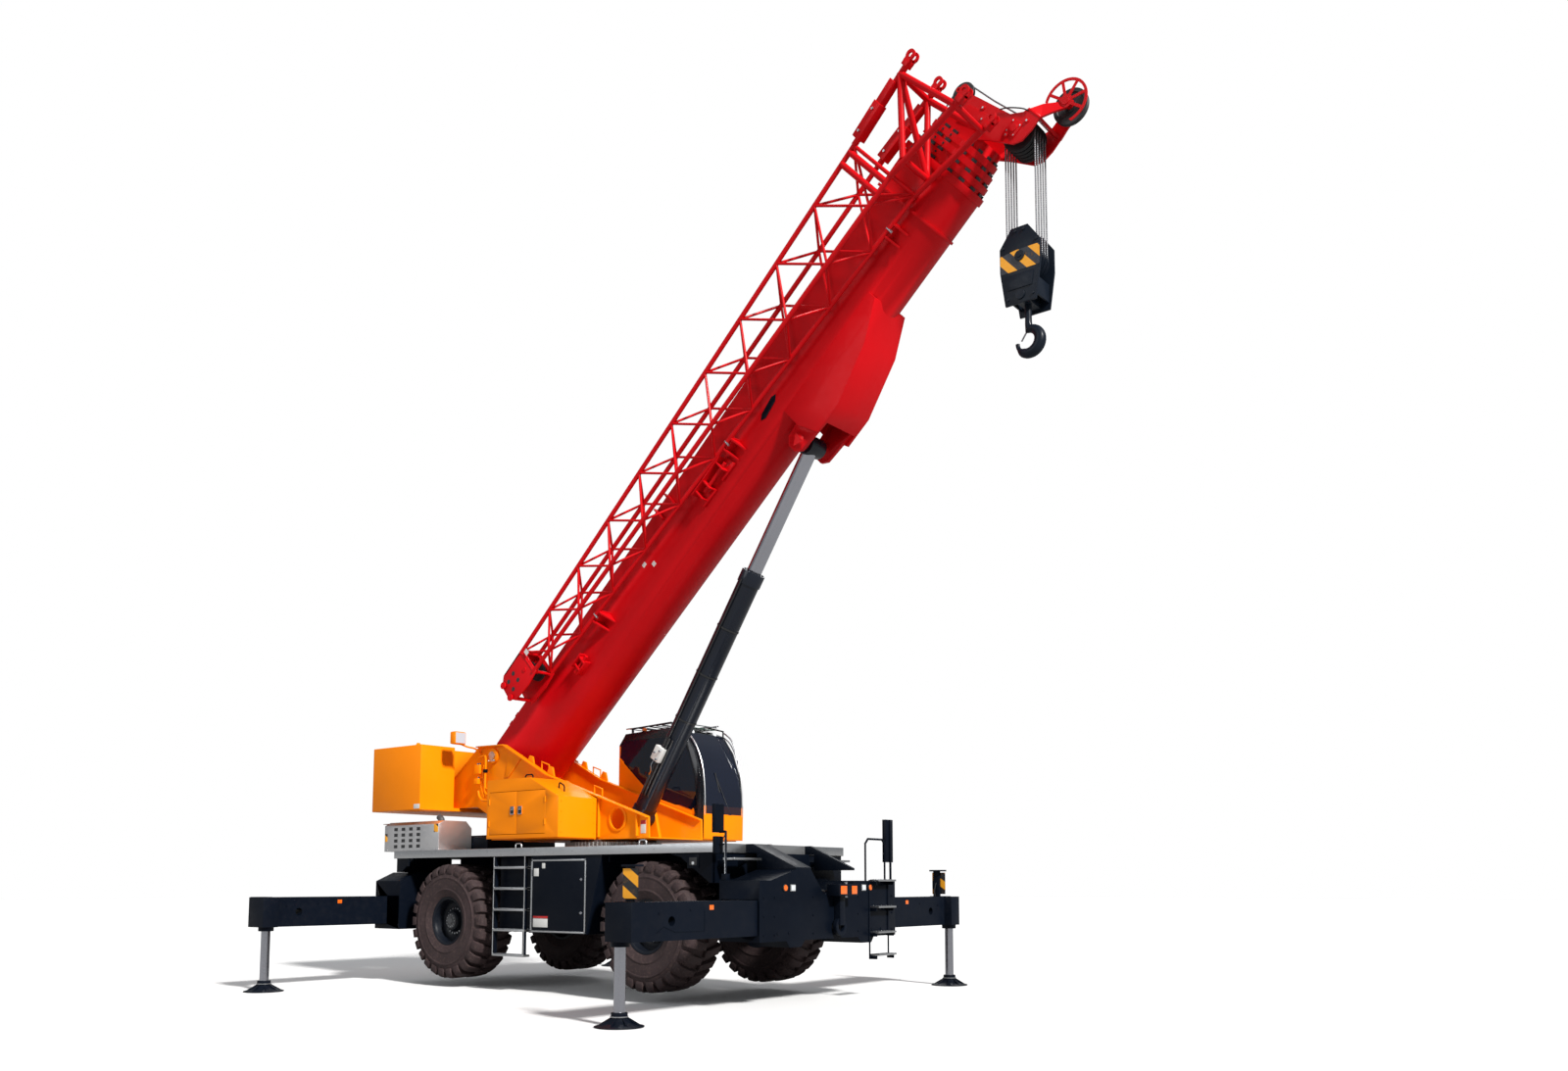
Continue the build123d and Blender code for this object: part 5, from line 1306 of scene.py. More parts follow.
def front_lamps():
    """Round and square lamps at the front, and a three-part cluster on each side at the rear."""
    x = FRONT_FACE
    lamps = Piece("Front Lamps")
    for y, kind in ((-1.1, "amber"), (-0.93, "clear"), (0.78, "clear"), (0.95, "amber")):
        lamps.use("silver" if kind == "clear" else "plastic")
        if kind == "clear":
            lamps.block(x, x + 0.012, y - 0.058, y + 0.058, 1.582, 1.678, bevel=0.004)
            lamps.use("clear").block(x + 0.012, x + 0.022, y - 0.045, y + 0.045, 1.592, 1.668, bevel=0.006)
        else:
            lamps.disc(at_crane(x, y, 1.63), (1, 0, 0), 0.05, 0.012, 32)
            lamps.use("amber").disc(at_crane(x + 0.012, y, 1.63), (1, 0, 0), 0.041, 0.012, 32, 0.35)
    back = -4.1605
    for side in (-1, 1):
        y = side * 1.1
        lamps.use("plastic").block(back, back - 0.02, y - 0.195, y + 0.195, 1.565, 1.675, bevel=0.005)
        for k, kind in enumerate(("amber", "ruby", "clear")):
            lamps.use(kind)
            centre = y + side * (0.125 - 0.125 * k)
            lamps.block(back - 0.02, back - 0.045, centre - 0.055, centre + 0.055, 1.575, 1.665,
                bevel=0.008)
    obj = lamps.make("carrier", "lamp_glass")
    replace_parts(obj, "lamps")


def front_pipes():
    """Hydraulic pipes, clips and the warning drum about the towing plate."""
    x = FRONT_FACE
    pipes = Piece("Front Pipes").use("hose")
    for k in range(4):
        z = 1.72 + 0.03 * k
        pipes.tube(curve_points(on(at_crane, (3.72, -0.36 + 0.06 * k, z + 0.05),
            (3.95, -0.3 + 0.06 * k, z - 0.02), (4.2, -0.25 + 0.06 * k, 1.62),
            (4.38, -0.2 + 0.05 * k, 1.575))), 0.012, 8)
    pipes.use("amber").block(4.6302, 4.6345, -0.1, 0.05, 1.54, 1.655, bevel=0.001)
    pipes.block(4.6302, 4.6345, 0.17, 0.3, 1.54, 1.655, bevel=0.001)
    pipes.use("steel").tube([at_crane(4.575, 0.1, 1.49), at_crane(4.575, 0.1, 1.7)], 0.026, 16)
    pipes.tube([at_crane(4.575, 0.06, 1.7), at_crane(4.575, 0.14, 1.7)], 0.009, 10)
    pipes.use("black")
    for y in (-1.25, -1.0, 1.0, 1.25):
        pipes.disc(at_crane(x, y, 1.02), (1, 0, 0), 0.02, 0.008, 20)
    pipes.make("carrier", "carrier_black")
    spots = [(at_crane(x, y, z), Vector((1, 0, 0))) for y in (-1.55, -1.32, -0.45, 0.65, 1.55)
        for z in (1.0, 1.25, 1.5)]
    bolts("Front Box Bolts", spots, 0.013, 0.009, "black", "carrier", 6)


class CRANE_OT_front(bpy.types.Operator):
    """Fairing, treads, mirrors, lamps, towing plate and steps at the front, lamps at the rear"""

    bl_idname = "crane.front"
    bl_label = "Front and Rear"

    def execute(self, context):
        copy_node("Front Fittings", "front_fittings", ("black", "silver", "tread"), 0.004,
            pick=front_surface)
        copy_node("Tow Hitch", "tow_hitch", "worn_black", 0.006)
        front_mirrors()
        front_steps()
        front_lamps()
        front_pipes()
        return {"FINISHED"}


class CRANE_OT_exhaust(bpy.types.Operator):
    """Stainless exhaust hood with black plates painted over its slots as the shade inside them, labels left
    blank and the exhaust outlet
    """

    bl_idname = "crane.exhaust"
    bl_label = "Exhaust Hood"

    def execute(self, context):
        hood = Piece("Exhaust Fittings").use("plastic")
        copy_node("Exhaust Hood", "exhaust_hood", "stainless", 0.012)
        # Thin black plates on the hood's face over its slots: painted shade for the dark inside of each slot
        for row in range(4):
            for column in range(4):
                x, z = -4.04 + 0.215 * column, 2.33 + 0.1 * row
                hood.block(x - 0.05, x + 0.05, -1.3503, -1.3512, z - 0.028, z + 0.028, bevel=0.0)
        hood.use("stainless")
        lip = [(-1.36, 2.72), (-0.8, 2.775), (-0.8, 2.79), (-1.37, 2.735)]
        hood.plate_x(lip, -4.4, -4.36)
        hood.use("flag").block(-2.96, -2.85, HOOD_FACE, -1.3535, 2.56, 2.7, bevel=0.001)
        hood.block(-4.355, -4.29, HOOD_FACE, -1.3535, 2.42, 2.56, bevel=0.001)
        hood.use("cast").tube(curve_points(on(at_crane, (-3.3, -0.95, 2.74), (-3.3, -0.95, 2.8),
            (-3.36, -0.95, 2.85))), 0.055, 20)
        hood.make("carrier", "stainless")
        spots = [(at_crane(x, -1.3502, 2.27), Vector((0, -1, 0))) for x in (-4.3, -3.8, -3.3, -2.9)]
        bolts("Hood Screws", spots, 0.01, 0.005, "steel", "carrier", 12)
        return {"FINISHED"}


# ---- superstructure
def upper_ribs():
    """The cheeks' ribs, hub rings, pin keepers and blank plates."""
    trim = Piece("Cheek Fittings").use("yellow")
    for side in (-1, 1):
        y = side * CHEEK_FACE
        trim.block(0.3, 0.33, y, y + side * 0.05, 2.42, 3.05, bevel=0.003)
        trim.block(1.15, 1.18, y, y + side * 0.05, 2.42, 2.78, bevel=0.003)
        trim.plate_y(((-1.9, 3.99), (-1.55, 3.84), (-1.9, 3.5), (-2.0, 3.5)), y, y + side * 0.016)
        for x, z in ((-1.35, 3.62), (-0.85, 3.41)):
            trim.plate_y(((x - 0.11, z + 0.1), (x - 0.045, z + 0.215), (x + 0.03, z + 0.19),
                (x + 0.07, z + 0.04)), y - side * 0.03, y)
        trim.spin([(0.1645, 0.0), (0.2, 0.0), (0.2, 0.014), (0.1645, 0.018)], at_crane(0.72, y, 2.7),
            (0, side, 0), 40)
        hub = at_crane(-2.32, side * 0.6505, 3.88)
        trim.ring(0.076, 0.13, 0.0, 0.012, hub, (0, side, 0), 40)
    trim.use("white").block(1.225, 1.335, -CHEEK_FACE, -0.6232, 2.46, 2.66, bevel=0.001)
    trim.use("ruby").block(1.225, 1.335, -0.6232, -0.624, 2.6, 2.66, bevel=0.0)
    trim.use("chrome").block(0.16, 0.22, -CHEEK_FACE, -0.6322, 2.5, 2.62, bevel=0.003)
    trim.use("steel")
    for side in (-1, 1):
        way = Vector((0, side, 0))
        trim.block(-2.42, -2.22, side * 0.6802, side * 0.6892, 3.78, 3.81, bevel=0.003)
        trim.disc(at_crane(-2.39, side * 0.6892, 3.795), way, 0.012, 0.007, 6)
        trim.disc(at_crane(-2.25, side * 0.6892, 3.795), way, 0.012, 0.007, 6)
    trim.make("superstructure", "crane_yellow")
    spots = [(at_crane(0.7 * cos(a), 0.7 * sin(a), 2.4005), Vector((0, 0, 1))) for a in turns(48)
        if abs(0.7 * sin(a)) < 0.59]
    bolts("Ring Bolts", spots, 0.016, 0.014, "steel", "superstructure", 6)


def upper_weight():
    """Lifting lugs with their holes, seams and a small blank plate."""
    trim = Piece("Counterweight Fittings").use("yellow")
    for side in (-1, 1):
        y = side * 1.0
        trim.ring(0.028, 0.05, -0.018, 0.018, at_crane(-3.947, y, 4.13), (1, 0, 0), 24)
    trim.use("white").block(-3.41, -3.245, -1.4502, -1.4522, 2.97, 3.05, bevel=0.0005)
    trim.use("black")
    for z in (3.38, 3.76):
        trim.block(-4.6305, -4.629, -1.44, 1.44, z, z + 0.004, bevel=0.0)
    trim.make("superstructure", "crane_yellow")
    spots = [(at_crane(-4.6155, y, z), Vector((-1, 0, 0))) for y in (-1.2, -0.4, 0.4, 1.2)
        for z in (3.1, 3.95)]
    bolts("Counterweight Bolts", spots, 0.02, 0.012, "yellow", "superstructure", 6)


def upper_handles():
    r = bpy.context.scene.crane_sizes.rail
    rails = Piece("Grab Handles").use("black")
    rows = (((-0.92, -1.1, 3.35), (-0.74, -1.1, 3.35)), ((0.0, -1.2, 3.18), (0.12, -1.2, 3.12)))
    for a, b in rows:
        start, stop = at_crane(*a), at_crane(*b)
        lift = Vector((0, 0, 0.095))
        rails.tube([start, start + lift * 0.75, start + lift + (stop - start) * 0.14,
            stop + lift + (start - stop) * 0.14, stop + lift * 0.75, stop], r * 0.8, 10)
    rails.use("yellow")
    for side in (-1, 1):
        for x, z in ((-1.12, 3.58), (0.15, 3.12)):
            start, stop = at_crane(x, side * 0.585, z), at_crane(x + 0.18, side * 0.585, z - 0.06)
            lift = Vector((0, 0, 0.13))
            rails.tube([start, start + lift, stop + lift, stop], r * 0.8, 10)
    rails.make("superstructure", "crane_yellow")


def upper_mirror():
    """Rear-view mirror on its arm behind the right cheek."""
    mirror = Piece("Winch Mirror").use("yellow")
    mirror.tube(curve_points(on(at_crane, (-2.66, -0.6, 3.92), (-2.7, -0.72, 4.02), (-2.75, -0.86, 4.05),
        (-2.8, -0.98, 4.1))), 0.016, 12)
    mirror.block(-2.87, -2.73, -1.14, -0.9, 4.08, 4.3, bevel=0.03)
    mirror.use("mirror").block(-2.7305, -2.7275, -1.12, -0.92, 4.1, 4.28, bevel=0.0)
    mirror.make("superstructure", "crane_yellow")


class CRANE_OT_upper(bpy.types.Operator):
    """Cheek frame, counterweight and slewing ring with their ribs, eyes and bolts"""

    bl_idname = "crane.upper"
    bl_label = "Upper Frame"

    def execute(self, context):
        copy_node("Upper Frame", "upper_frame", "yellow", 0.005)
        copy_node("Counterweight", "counterweight", "yellow", 0.018)
        copy_node("Slew Ring", "slew_ring", "gear", 0.0)
        copy_node("Boom Foot Pin", "boom_foot_pin", "steel", 0.006)
        copy_node("Cylinder Base Pin", "ram_base_pin", "steel", 0.005)
        upper_ribs()
        upper_weight()
        upper_handles()
        upper_mirror()
        return {"FINISHED"}


class CRANE_OT_cabinet(bpy.types.Operator):
    """Valve cabinet, its two doors with their latches, and its bolted front face"""

    bl_idname = "crane.cabinet"
    bl_label = "Cabinet"

    def execute(self, context):
        copy_node("Cabinet", "cabinet", "yellow", 0.008)
        for leaf, latch_x in (("rear", -0.743), ("front", -0.557)):
            node = f"cabinet_door_{leaf}"
            copy_node(f"Cabinet Door {leaf}", node, "yellow", 0.003)
            latch = Piece(f"Cabinet Latch {leaf}").use("chrome")
            y = -1.5122
            latch.block(latch_x - 0.047, latch_x + 0.047, y, y - 0.004, 2.775, 2.905, bevel=0.002)
            latch.use("black").block(latch_x - 0.032, latch_x + 0.032, y - 0.004, y - 0.006, 2.79, 2.84,
                bevel=0.001)
            latch.use("chrome").block(latch_x - 0.026, latch_x + 0.026, y - 0.004, y - 0.011, 2.845, 2.89,
                bevel=0.002)
            latch.disc(at_crane(latch_x, y - 0.006, 2.812), (0, -1, 0), 0.009, 0.004, 16)
            latch.make(node, "crane_yellow")
        spots = [(at_crane(0.3202, y, z), Vector((1, 0, 0))) for y in (-1.44, -0.76)
            for z in (2.48, 2.64, 2.8, 2.96)]
        bolts("Cabinet Bolts", spots, 0.011, 0.007, "yellow", "superstructure", 6)
        return {"FINISHED"}


def winch_pipes():
    """Rigid hydraulic pipes and the valve block between the drum and the cabinet."""
    pipes = Piece("Winch Pipes").use("yellow")
    rows = (
        (0.018, ((-2.62, -0.7, 3.86), (-2.5, -0.72, 3.88), (-2.42, -0.72, 3.84), (-2.42, -0.72, 3.4),
                 (-2.36, -0.74, 3.22), (-2.1, -0.8, 3.2), (-1.4, -0.84, 3.2))),
        (0.018, ((-2.6, -0.72, 3.28), (-2.52, -0.74, 3.16), (-2.3, -0.78, 3.1), (-1.4, -0.86, 3.1))),
        (0.014, ((-2.62, -0.66, 3.66), (-2.52, -0.69, 3.6), (-2.48, -0.69, 3.42), (-2.3, -0.74, 3.3),
                 (-1.4, -0.82, 3.28))),
        (0.014, ((-2.58, -0.66, 3.5), (-2.54, -0.69, 3.42), (-2.54, -0.7, 3.34), (-2.4, -0.74, 3.16))),
    )
    for r, row in rows:
        pipes.tube(curve_points([at_crane(*p) for p in row], 6), r, 10)
    pipes.block(-2.7, -2.56, -0.74, -0.63, 3.58, 3.74, bevel=0.01)
    pipes.block(-2.68, -2.58, -0.76, -0.64, 3.4, 3.5, bevel=0.01)
    pipes.block(-1.52, -1.4, -0.9, -0.78, 3.06, 3.3, bevel=0.01)
    pipes.use("chrome")
    for x, z in ((-2.66, 3.74), (-2.6, 3.74), (-2.63, 3.5)):
        pipes.disc(at_crane(x, -0.69, z), (0, 0, 1), 0.02, 0.03, 16)
    pipes.use("black")
    for x, y, z in ((-2.42, -0.72, 3.62), (-2.05, -0.805, 3.2), (-2.05, -0.825, 3.1)):
        pipes.block(x - 0.03, x + 0.03, y - 0.03, y + 0.03, z - 0.03, z + 0.03, bevel=0.008)
    pipes.make("superstructure", "crane_yellow")


class CRANE_OT_winch(bpy.types.Operator):
    """Hoist drum with its rope layers and the pipes beside it"""

    bl_idname = "crane.winch"
    bl_label = "Winch"

    def execute(self, context):
        drum = Piece("Winch Drum").use("yellow")
        centre, axis = at_crane(-3.19, 0, 3.52), (0, 1, 0)
        for side in (-1, 1):
            y = side * 0.385
            drum.spin([(0.12, y - 0.014), (0.325, y - 0.014), (0.328, y - 0.01), (0.328, y + 0.01),
                (0.325, y + 0.014), (0.12, y + 0.014)], centre, axis, 56)
        drum.use("rope")
        turns, r = 33, 0.011
        profile = [(0.12, -0.37)]
        for k in range(turns):
            y = -0.37 + 0.74 * (k + 0.5) / turns
            profile += [(0.262 + r * sin(a), y - r * cos(a)) for a in (0.2, 1.1, 2.0, 2.9)]
        profile += [(0.12, 0.37)]
        drum.spin(profile, centre, axis, 56)
        obj = drum.make("winch_drum", "cast_iron", 50)
        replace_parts(obj, "winch_drum")
        winch_pipes()
        return {"FINISHED"}


# ---- cab
def cab_panels():
    """Orange lower panels at the front and on the right, each a thin pressing over the shell."""
    base = Piece("Cab Lower Panels").use("cab_base")
    base.plate_y(((-0.545, 2.41), (1.09, 2.41), (1.15, 2.6), (1.12, 2.87), (0.38, 3.1), (0.017, 3.35),
        (-0.545, 3.84)), 0.6495, 0.641, bevel=0.003)
    base.plate_x(((0.66, 2.41), (1.63, 2.41), (1.63, 2.8), (0.66, 2.8)), 1.3905, 1.398, bevel=0.003)
    base.use("cab_black").plate_y(((1.09, 2.41), (1.337, 2.41), (1.37, 2.95), (1.33, 3.42), (1.19, 3.84),
        (1.0, 4.13), (0.9, 4.13), (1.09, 3.84), (1.22, 3.42), (1.25, 2.95), (1.15, 2.6)), 0.6495, 0.638,
        bevel=0.003)
    base.make("superstructure", "cab_black")


def cab_skin():
    """Glass skin outside the shell: one dark curved sheet on the right, another over the front."""
    glass = Piece("Cab Outer Glass").use("glass")
    glass.plate_y(((-0.52, 3.845), (0.02, 3.375), (0.39, 3.125), (1.13, 2.89), (1.24, 2.96), (1.205, 3.42),
        (1.08, 3.83), (0.89, 4.12), (-0.42, 4.12), (-0.5, 4.05)), 0.6492, 0.6455, bevel=0.0)
    front = [(1.3995, 2.82), (1.402, 2.95), (1.385, 3.2), (1.345, 3.45), (1.275, 3.68), (1.185, 3.885),
        (1.09, 4.03), (0.965, 4.185)]
    inner = [(x - 0.006, z - 0.003) for x, z in front]
    outline = front + inner[::-1]
    glass.plate_y(outline, 0.7, 1.59, bevel=0.0)
    glass.make("superstructure", "glass", 20)


def cab_bars(r):
    bars = Piece("Hand Bars").use("silver")
    route = [(0.98, 4.17), (1.12, 4.06), (1.25, 3.85), (1.34, 3.6), (1.385, 3.3), (1.398, 3.0),
        (1.385, 2.78)]
    for y in (0.675, 1.615):
        bars.tube(curve_points([at_crane(x, y, z) for x, z in route], 6), r * 0.9, 10)
    guard = [(1.0, 4.25), (1.17, 4.12), (1.28, 3.92), (1.36, 3.68)]
    bars.tube(curve_points([at_crane(x, 1.585, z) for x, z in guard], 6), r, 10)
    bars.use("steel")
    for y in (0.72, 1.57):
        bars.tube([at_crane(-0.45, y, 4.335), at_crane(0.9, y, 4.365)], 0.011, 10)
    for x in (-0.42, -0.1, 0.25, 0.6, 0.86):
        bars.tube([at_crane(x, 0.72, 4.34), at_crane(x, 1.57, 4.34)], 0.009, 8)
    for x in (-0.3, 0.5):
        for y in (0.74, 1.55):
            bars.tube([at_crane(x, y, 4.23), at_crane(x, y, 4.34)], 0.009, 8)
    bars.make("superstructure", "deck_silver")


def cab_fittings():
    parts = Piece("Cab Fittings").use("roof_glass")
    parts.block(0.32, 0.9, 0.78, 1.5, 4.285, 4.292, bevel=0.0)
    parts.use("plastic").disc(at_crane(-0.1, 0.8, 4.255), (0, 0, 1), 0.05, 0.02, 24)
    parts.use("amber").disc(at_crane(-0.1, 0.8, 4.275), (0, 0, 1), 0.042, 0.06, 24, 0.3)
    parts.use("plastic").tube(curve_points(on(at_crane, (1.392, 1.3, 2.86), (1.395, 1.12, 3.15),
        (1.36, 1.0, 3.42)), 5), 0.009, 8)
    parts.block(1.386, 1.398, 1.26, 1.34, 2.81, 2.87, bevel=0.004)
    parts.tube([at_crane(1.385, 1.05, 3.18), at_crane(1.345, 0.98, 3.5)], 0.012, 8)
    for z in (2.62, 2.5):
        parts.block(0.35, 0.65, 0.6408, 0.634, z, z + 0.02, bevel=0.004)
    parts.use("silver").tube(on(at_crane, (1.02, 1.64, 3.55), (1.1, 1.64, 3.62), (1.16, 1.63, 3.72)), 0.01,
        8)
    parts.use("clear")
    for y in (0.86, 1.42):
        parts.disc(at_crane(0.93, y, 4.2), (0.8, 0, 0.3), 0.045, 0.03, 24, 0.3)
    parts.use("seat").block(0.06, 0.16, 1.0, 1.3, 3.62, 3.84, bevel=0.03)
    parts.make("superstructure", "cab_black")
    inside = Piece("Cab Controls").use("plastic")
    inside.tube([at_crane(1.07, 1.15, 2.98), at_crane(0.92, 1.15, 3.14)], 0.02, 12)
    ring = [at_crane(0.92 + 0.11 * cos(a), 1.15 + 0.17 * sin(a), 3.14 + 0.1 * cos(a)) for a in turns(24)]
    inside.tube(ring, 0.014, 8, closed=True)
    for y in (0.86, 1.44):
        inside.block(0.35, 0.72, y - 0.07, y + 0.07, 2.86, 3.02, bevel=0.02)
        inside.tube([at_crane(0.62, y, 3.02), at_crane(0.64, y, 3.17)], 0.009, 8)
        inside.disc(at_crane(0.64, y, 3.15), (0, 0, 1), 0.02, 0.05, 16, 0.4)
    inside.block(1.1, 1.2, 0.76, 0.94, 3.05, 3.3, bevel=0.01)
    inside.make("superstructure", "cab_black")


class CRANE_OT_cab(bpy.types.Operator):
    """Cab shell in two colours, curved dark glass, roof guard, hand bars, wipers and beacon"""

    bl_idname = "crane.cab"
    bl_label = "Cab"

    def execute(self, context):
        def pick(centre, way):
            x, z = centre.x - SLEW.x, centre.z
            if z > 4.14:
                return 0
            if way.y < -0.7 and centre.y < 0.66:
                low = z < 2.93
                corner = x < -0.1 and z < 3.85 - (x + 0.55) * 1.9
                return 1 if (low and x < 1.0) or corner else 0
            if way.x > 0.5 and x > 1.33:
                return 1 if z < 2.86 else 0
            if way.x < -0.7:
                return 1
            if way.y > 0.7:
                return 1 if z < 2.98 else 0
            return 0

        copy_node("Cab Shell", "cab_shell", ("cab_black", "cab_base"), 0.004, pick=pick)
        copy_node("Cab Glass", "cab_glass", "glass")
        copy_node("Cab Door", "cab_door", ("cab_black", "cab_base"), 0.004, pick=lambda centre,
            way: 1 if centre.z < 2.96 else 0)
        copy_node("Cab Door Glass", "cab_door_glass", "glass")
        copy_node("Cab Seat", "cab_seat", "seat", 0.03)
        cab_panels()
        cab_skin()
        cab_bars(context.scene.crane_sizes.rail)
        cab_fittings()
        return {"FINISHED"}


# ---- boom
BASE_MOUTH = 11.65
MOUTH_STEP = 0.14
BELLY_CENTRE = -0.42


def boom_pads():
    """Dark wear pads and adjusting bolts round each section's mouth."""
    for k in range(4):
        end = BASE_MOUTH + MOUTH_STEP * k
        half = BOOM_HALF - SECTION_STEP * k
        top = BOOM_TOP - SECTION_STEP * k
        body = "boom_base" if k == 0 else f"boom_section_{k}"
        pads = Piece(f"Wear Pads {k}").use("plastic")
        y, n = half - 0.03, top - 0.0305
        for side in (-1, 1):
            pads.block(end - 0.06, end + 0.006, side * 0.3, side * 0.12, n, n + 0.017, at_boom, 0.002)
            pads.block(end - 0.06, end + 0.006, side * y, side * (y + 0.017), -0.05, 0.12, at_boom, 0.002)
        around = half - 0.032
        for side in (-1, 1):
            for n in (-0.2, -0.02, 0.15):
                pads.block(end - 0.02, end + 0.04, side * (around + 0.001), side * (around + 0.026),
                    n - 0.05, n + 0.05, at_boom, 0.003)
        for turn in range(-160, -10, 28):
            boom_belly_pad(pads, end, around, turn)
        outer = half + (0.028 if k == 0 else 0.02)
        spots = []
        for side in (-1, 1):
            for n in (0.16, -0.02, -0.2):
                spots.append((at_boom(end - 0.045, side * (outer - 0.001), n), Vector((0, side, 0))))
        pads.make(body, "boom_red")
        bolts(f"Pad Bolts {k}", spots, 0.016, 0.012, "plastic", body, 6)


def boom_belly_pad(pads, end, around, turn):
    """One wear pad under the round belly, at an angle in degrees."""
    corners = ((0.001, -6), (0.026, -6), (0.026, 6), (0.001, 6))
    base = []
    for lift, step in corners:
        a = radians(turn + step)
        base.append(at_boom(end - 0.02, (around + lift) * cos(a), BELLY_CENTRE + (around + lift) * sin(a)))
    pads.prism(base, at_boom(0.06, 0, 0) - at_boom(0, 0, 0), 0.003)


def boom_brackets():
    """Plates, hose saddles and lugs on the base section's right side and top."""
    trim = Piece("Boom Brackets").use("red")
    y = -0.4502
    for s, n0, n1 in ((2.35, -0.42, -0.24), (2.5, -0.42, -0.24), (5.2, 0.0, 0.25), (5.5, 0.0, 0.25)):
        trim.block(s, s + 0.03, y, y - 0.1, n0, n1, at_boom)
    trim.block(2.3, 2.58, y, y - 0.12, -0.24, -0.215, at_boom)
    trim.block(2.3, 2.58, y, y - 0.12, -0.44, -0.415, at_boom)
    trim.tube([at_boom(2.26, y - 0.06, -0.33), at_boom(2.62, y - 0.06, -0.33)], 0.03, 16)
    for s in (5.85, 6.35):
        trim.plate_y(((s, -0.52), (s + 0.34, -0.52), (s + 0.3, -0.3), (s + 0.04, -0.24)), y, y - 0.03,
            at_boom)
    trim.block(5.88, 6.62, y, y - 0.16, -0.3, -0.275, at_boom)
    for s in (5.95, 6.15, 6.5):
        trim.block(s, s + 0.025, y, y - 0.15, -0.5, -0.3, at_boom)
    trim.tube([at_boom(6.05, y - 0.1, -0.42), at_boom(6.6, y - 0.1, -0.42)], 0.028, 16)
    for s in (0.42, 0.62):
        trim.plate_y(((s, 0.27), (s + 0.13, 0.27), (s + 0.11, 0.38), (s + 0.02, 0.38)), -0.36, -0.33,
            at_boom)
        trim.plate_y(((s, 0.27), (s + 0.13, 0.27), (s + 0.11, 0.38), (s + 0.02, 0.38)), 0.33, 0.36, at_boom)
    for s in (3.0, 6.0, 9.0):
        for side in (-1, 1):
            trim.block(s, s + 0.04, side * 0.14, side * 0.18, 0.2752, 0.36, at_boom)
        trim.tube([at_boom(s + 0.02, -0.17, 0.345), at_boom(s + 0.02, 0.17, 0.345)], 0.016, 12)
    trim.use("plastic")
    for s in (3.0, 6.0, 9.0):
        trim.tube([at_boom(s + 0.02, -0.12, 0.345), at_boom(s + 0.02, 0.12, 0.345)], 0.027, 16)
    trim.use("black").plate_y(((7.42, -0.43), (7.5, -0.37), (7.78, -0.33), (7.86, -0.37), (7.78, -0.44),
        (7.5, -0.48)), y - 0.0005, y - 0.004, at_boom)
    trim.use("white").block(4.55, 4.62, y, y - 0.0015, -0.36, -0.28, at_boom, 0.0)
    trim.block(4.4, 4.48, y, y - 0.0015, -0.2, -0.13, at_boom, 0.0)
    trim.use("red")
    for side in (-1, 1):
        trim.ring(0.052, 0.086, -0.016, 0.016, at_boom(10.55, side * 0.12, -0.675), (0, 1, 0), 28)
    trim.make("boom_base", "boom_red")


def boom_details():
    """Pipes along the boom's foot and its rear face plate bolts."""
    pipes = Piece("Boom Foot Pipes").use("hose")
    for y in (-0.12, -0.06, 0.06, 0.12):
        pipes.tube(curve_points(on(at_boom, (0.055, y, -0.1), (-0.02, y, -0.16), (-0.03, y, -0.28),
            (0.05, y, -0.4)), 6), 0.016, 10)
    pipes.make("boom_base", "carrier_black")
    spots = [(at_boom(0.0595, y, n), at_boom(0, 0, 0) - at_boom(1, 0, 0))
        for y in (-0.34, -0.17, 0.17, 0.34) for n in (0.2, 0.0)]
    bolts("Boom Foot Bolts", spots, 0.014, 0.01, "red", "boom_base", 6)


class CRANE_OT_boom(bpy.types.Operator):
    """Base section and four telescoping sections, with smooth bellies, collars and wear pads"""

    bl_idname = "crane.boom"
    bl_label = "Boom"

    def execute(self, context):
        copy_node("Boom Base", "boom_base", "red", 0.005, sharp=28)
        for k in range(1, 5):
            node = f"boom_section_{k}"
            copy_node(f"Boom Section {k}", node, "red", 0.0, sharp=28)
        boom_pads()
        boom_brackets()
        boom_details()
        return {"FINISHED"}


def ram_fittings():
    parts = Piece("Cylinder Fittings").use("hose")
    for y, n in ((-0.18, -0.09), (-0.197, -0.03), (-0.197, 0.03)):
        parts.tube(curve_points(on(at_ram, (0.42, y + 0.02, n), (0.55, y, n), (1.2, y, n), (1.45, y, n)),
            6), 0.016, 10)
    parts.tube([at_ram(1.3, -0.194, 0.0), at_ram(4.2, -0.194, 0.0)], 0.012, 10)
    for s in (1.8, 2.6, 3.4):
        parts.ring(0.1725, 0.18, -0.012, 0.012, at_ram(s, 0, 0), at_ram(1, 0, 0) - at_ram(0, 0, 0), 48)
    parts.use("white").block(1.02, 1.26, -0.27, -0.175, -0.06, 0.12, at_ram, 0.012)
    parts.use("chrome")
    for s, n in ((1.06, -0.02), (1.14, 0.07), (1.21, -0.02)):
        parts.disc(at_ram(s, -0.27, n), (0, -1, 0), 0.018, 0.03, 6)
    parts.tube(curve_points(on(at_ram, (1.02, -0.22, 0.06), (0.93, -0.25, 0.05), (0.84, -0.23, 0.02),
        (0.76, -0.21, 0.04)), 6), 0.01, 8)
    parts.make("ram_barrel", "carrier_black")
    lean = at_ram(1, 0, 0) - at_ram(0, 0, 0)
    spots = []
    for k in range(16):
        a = 2 * pi * k / 16
        spots.append((at_ram(4.3505, 0.15 * cos(a), 0.15 * sin(a)), lean))
    bolts("Gland Bolts", spots, 0.012, 0.012, "barrel_black", "ram_barrel", 6)


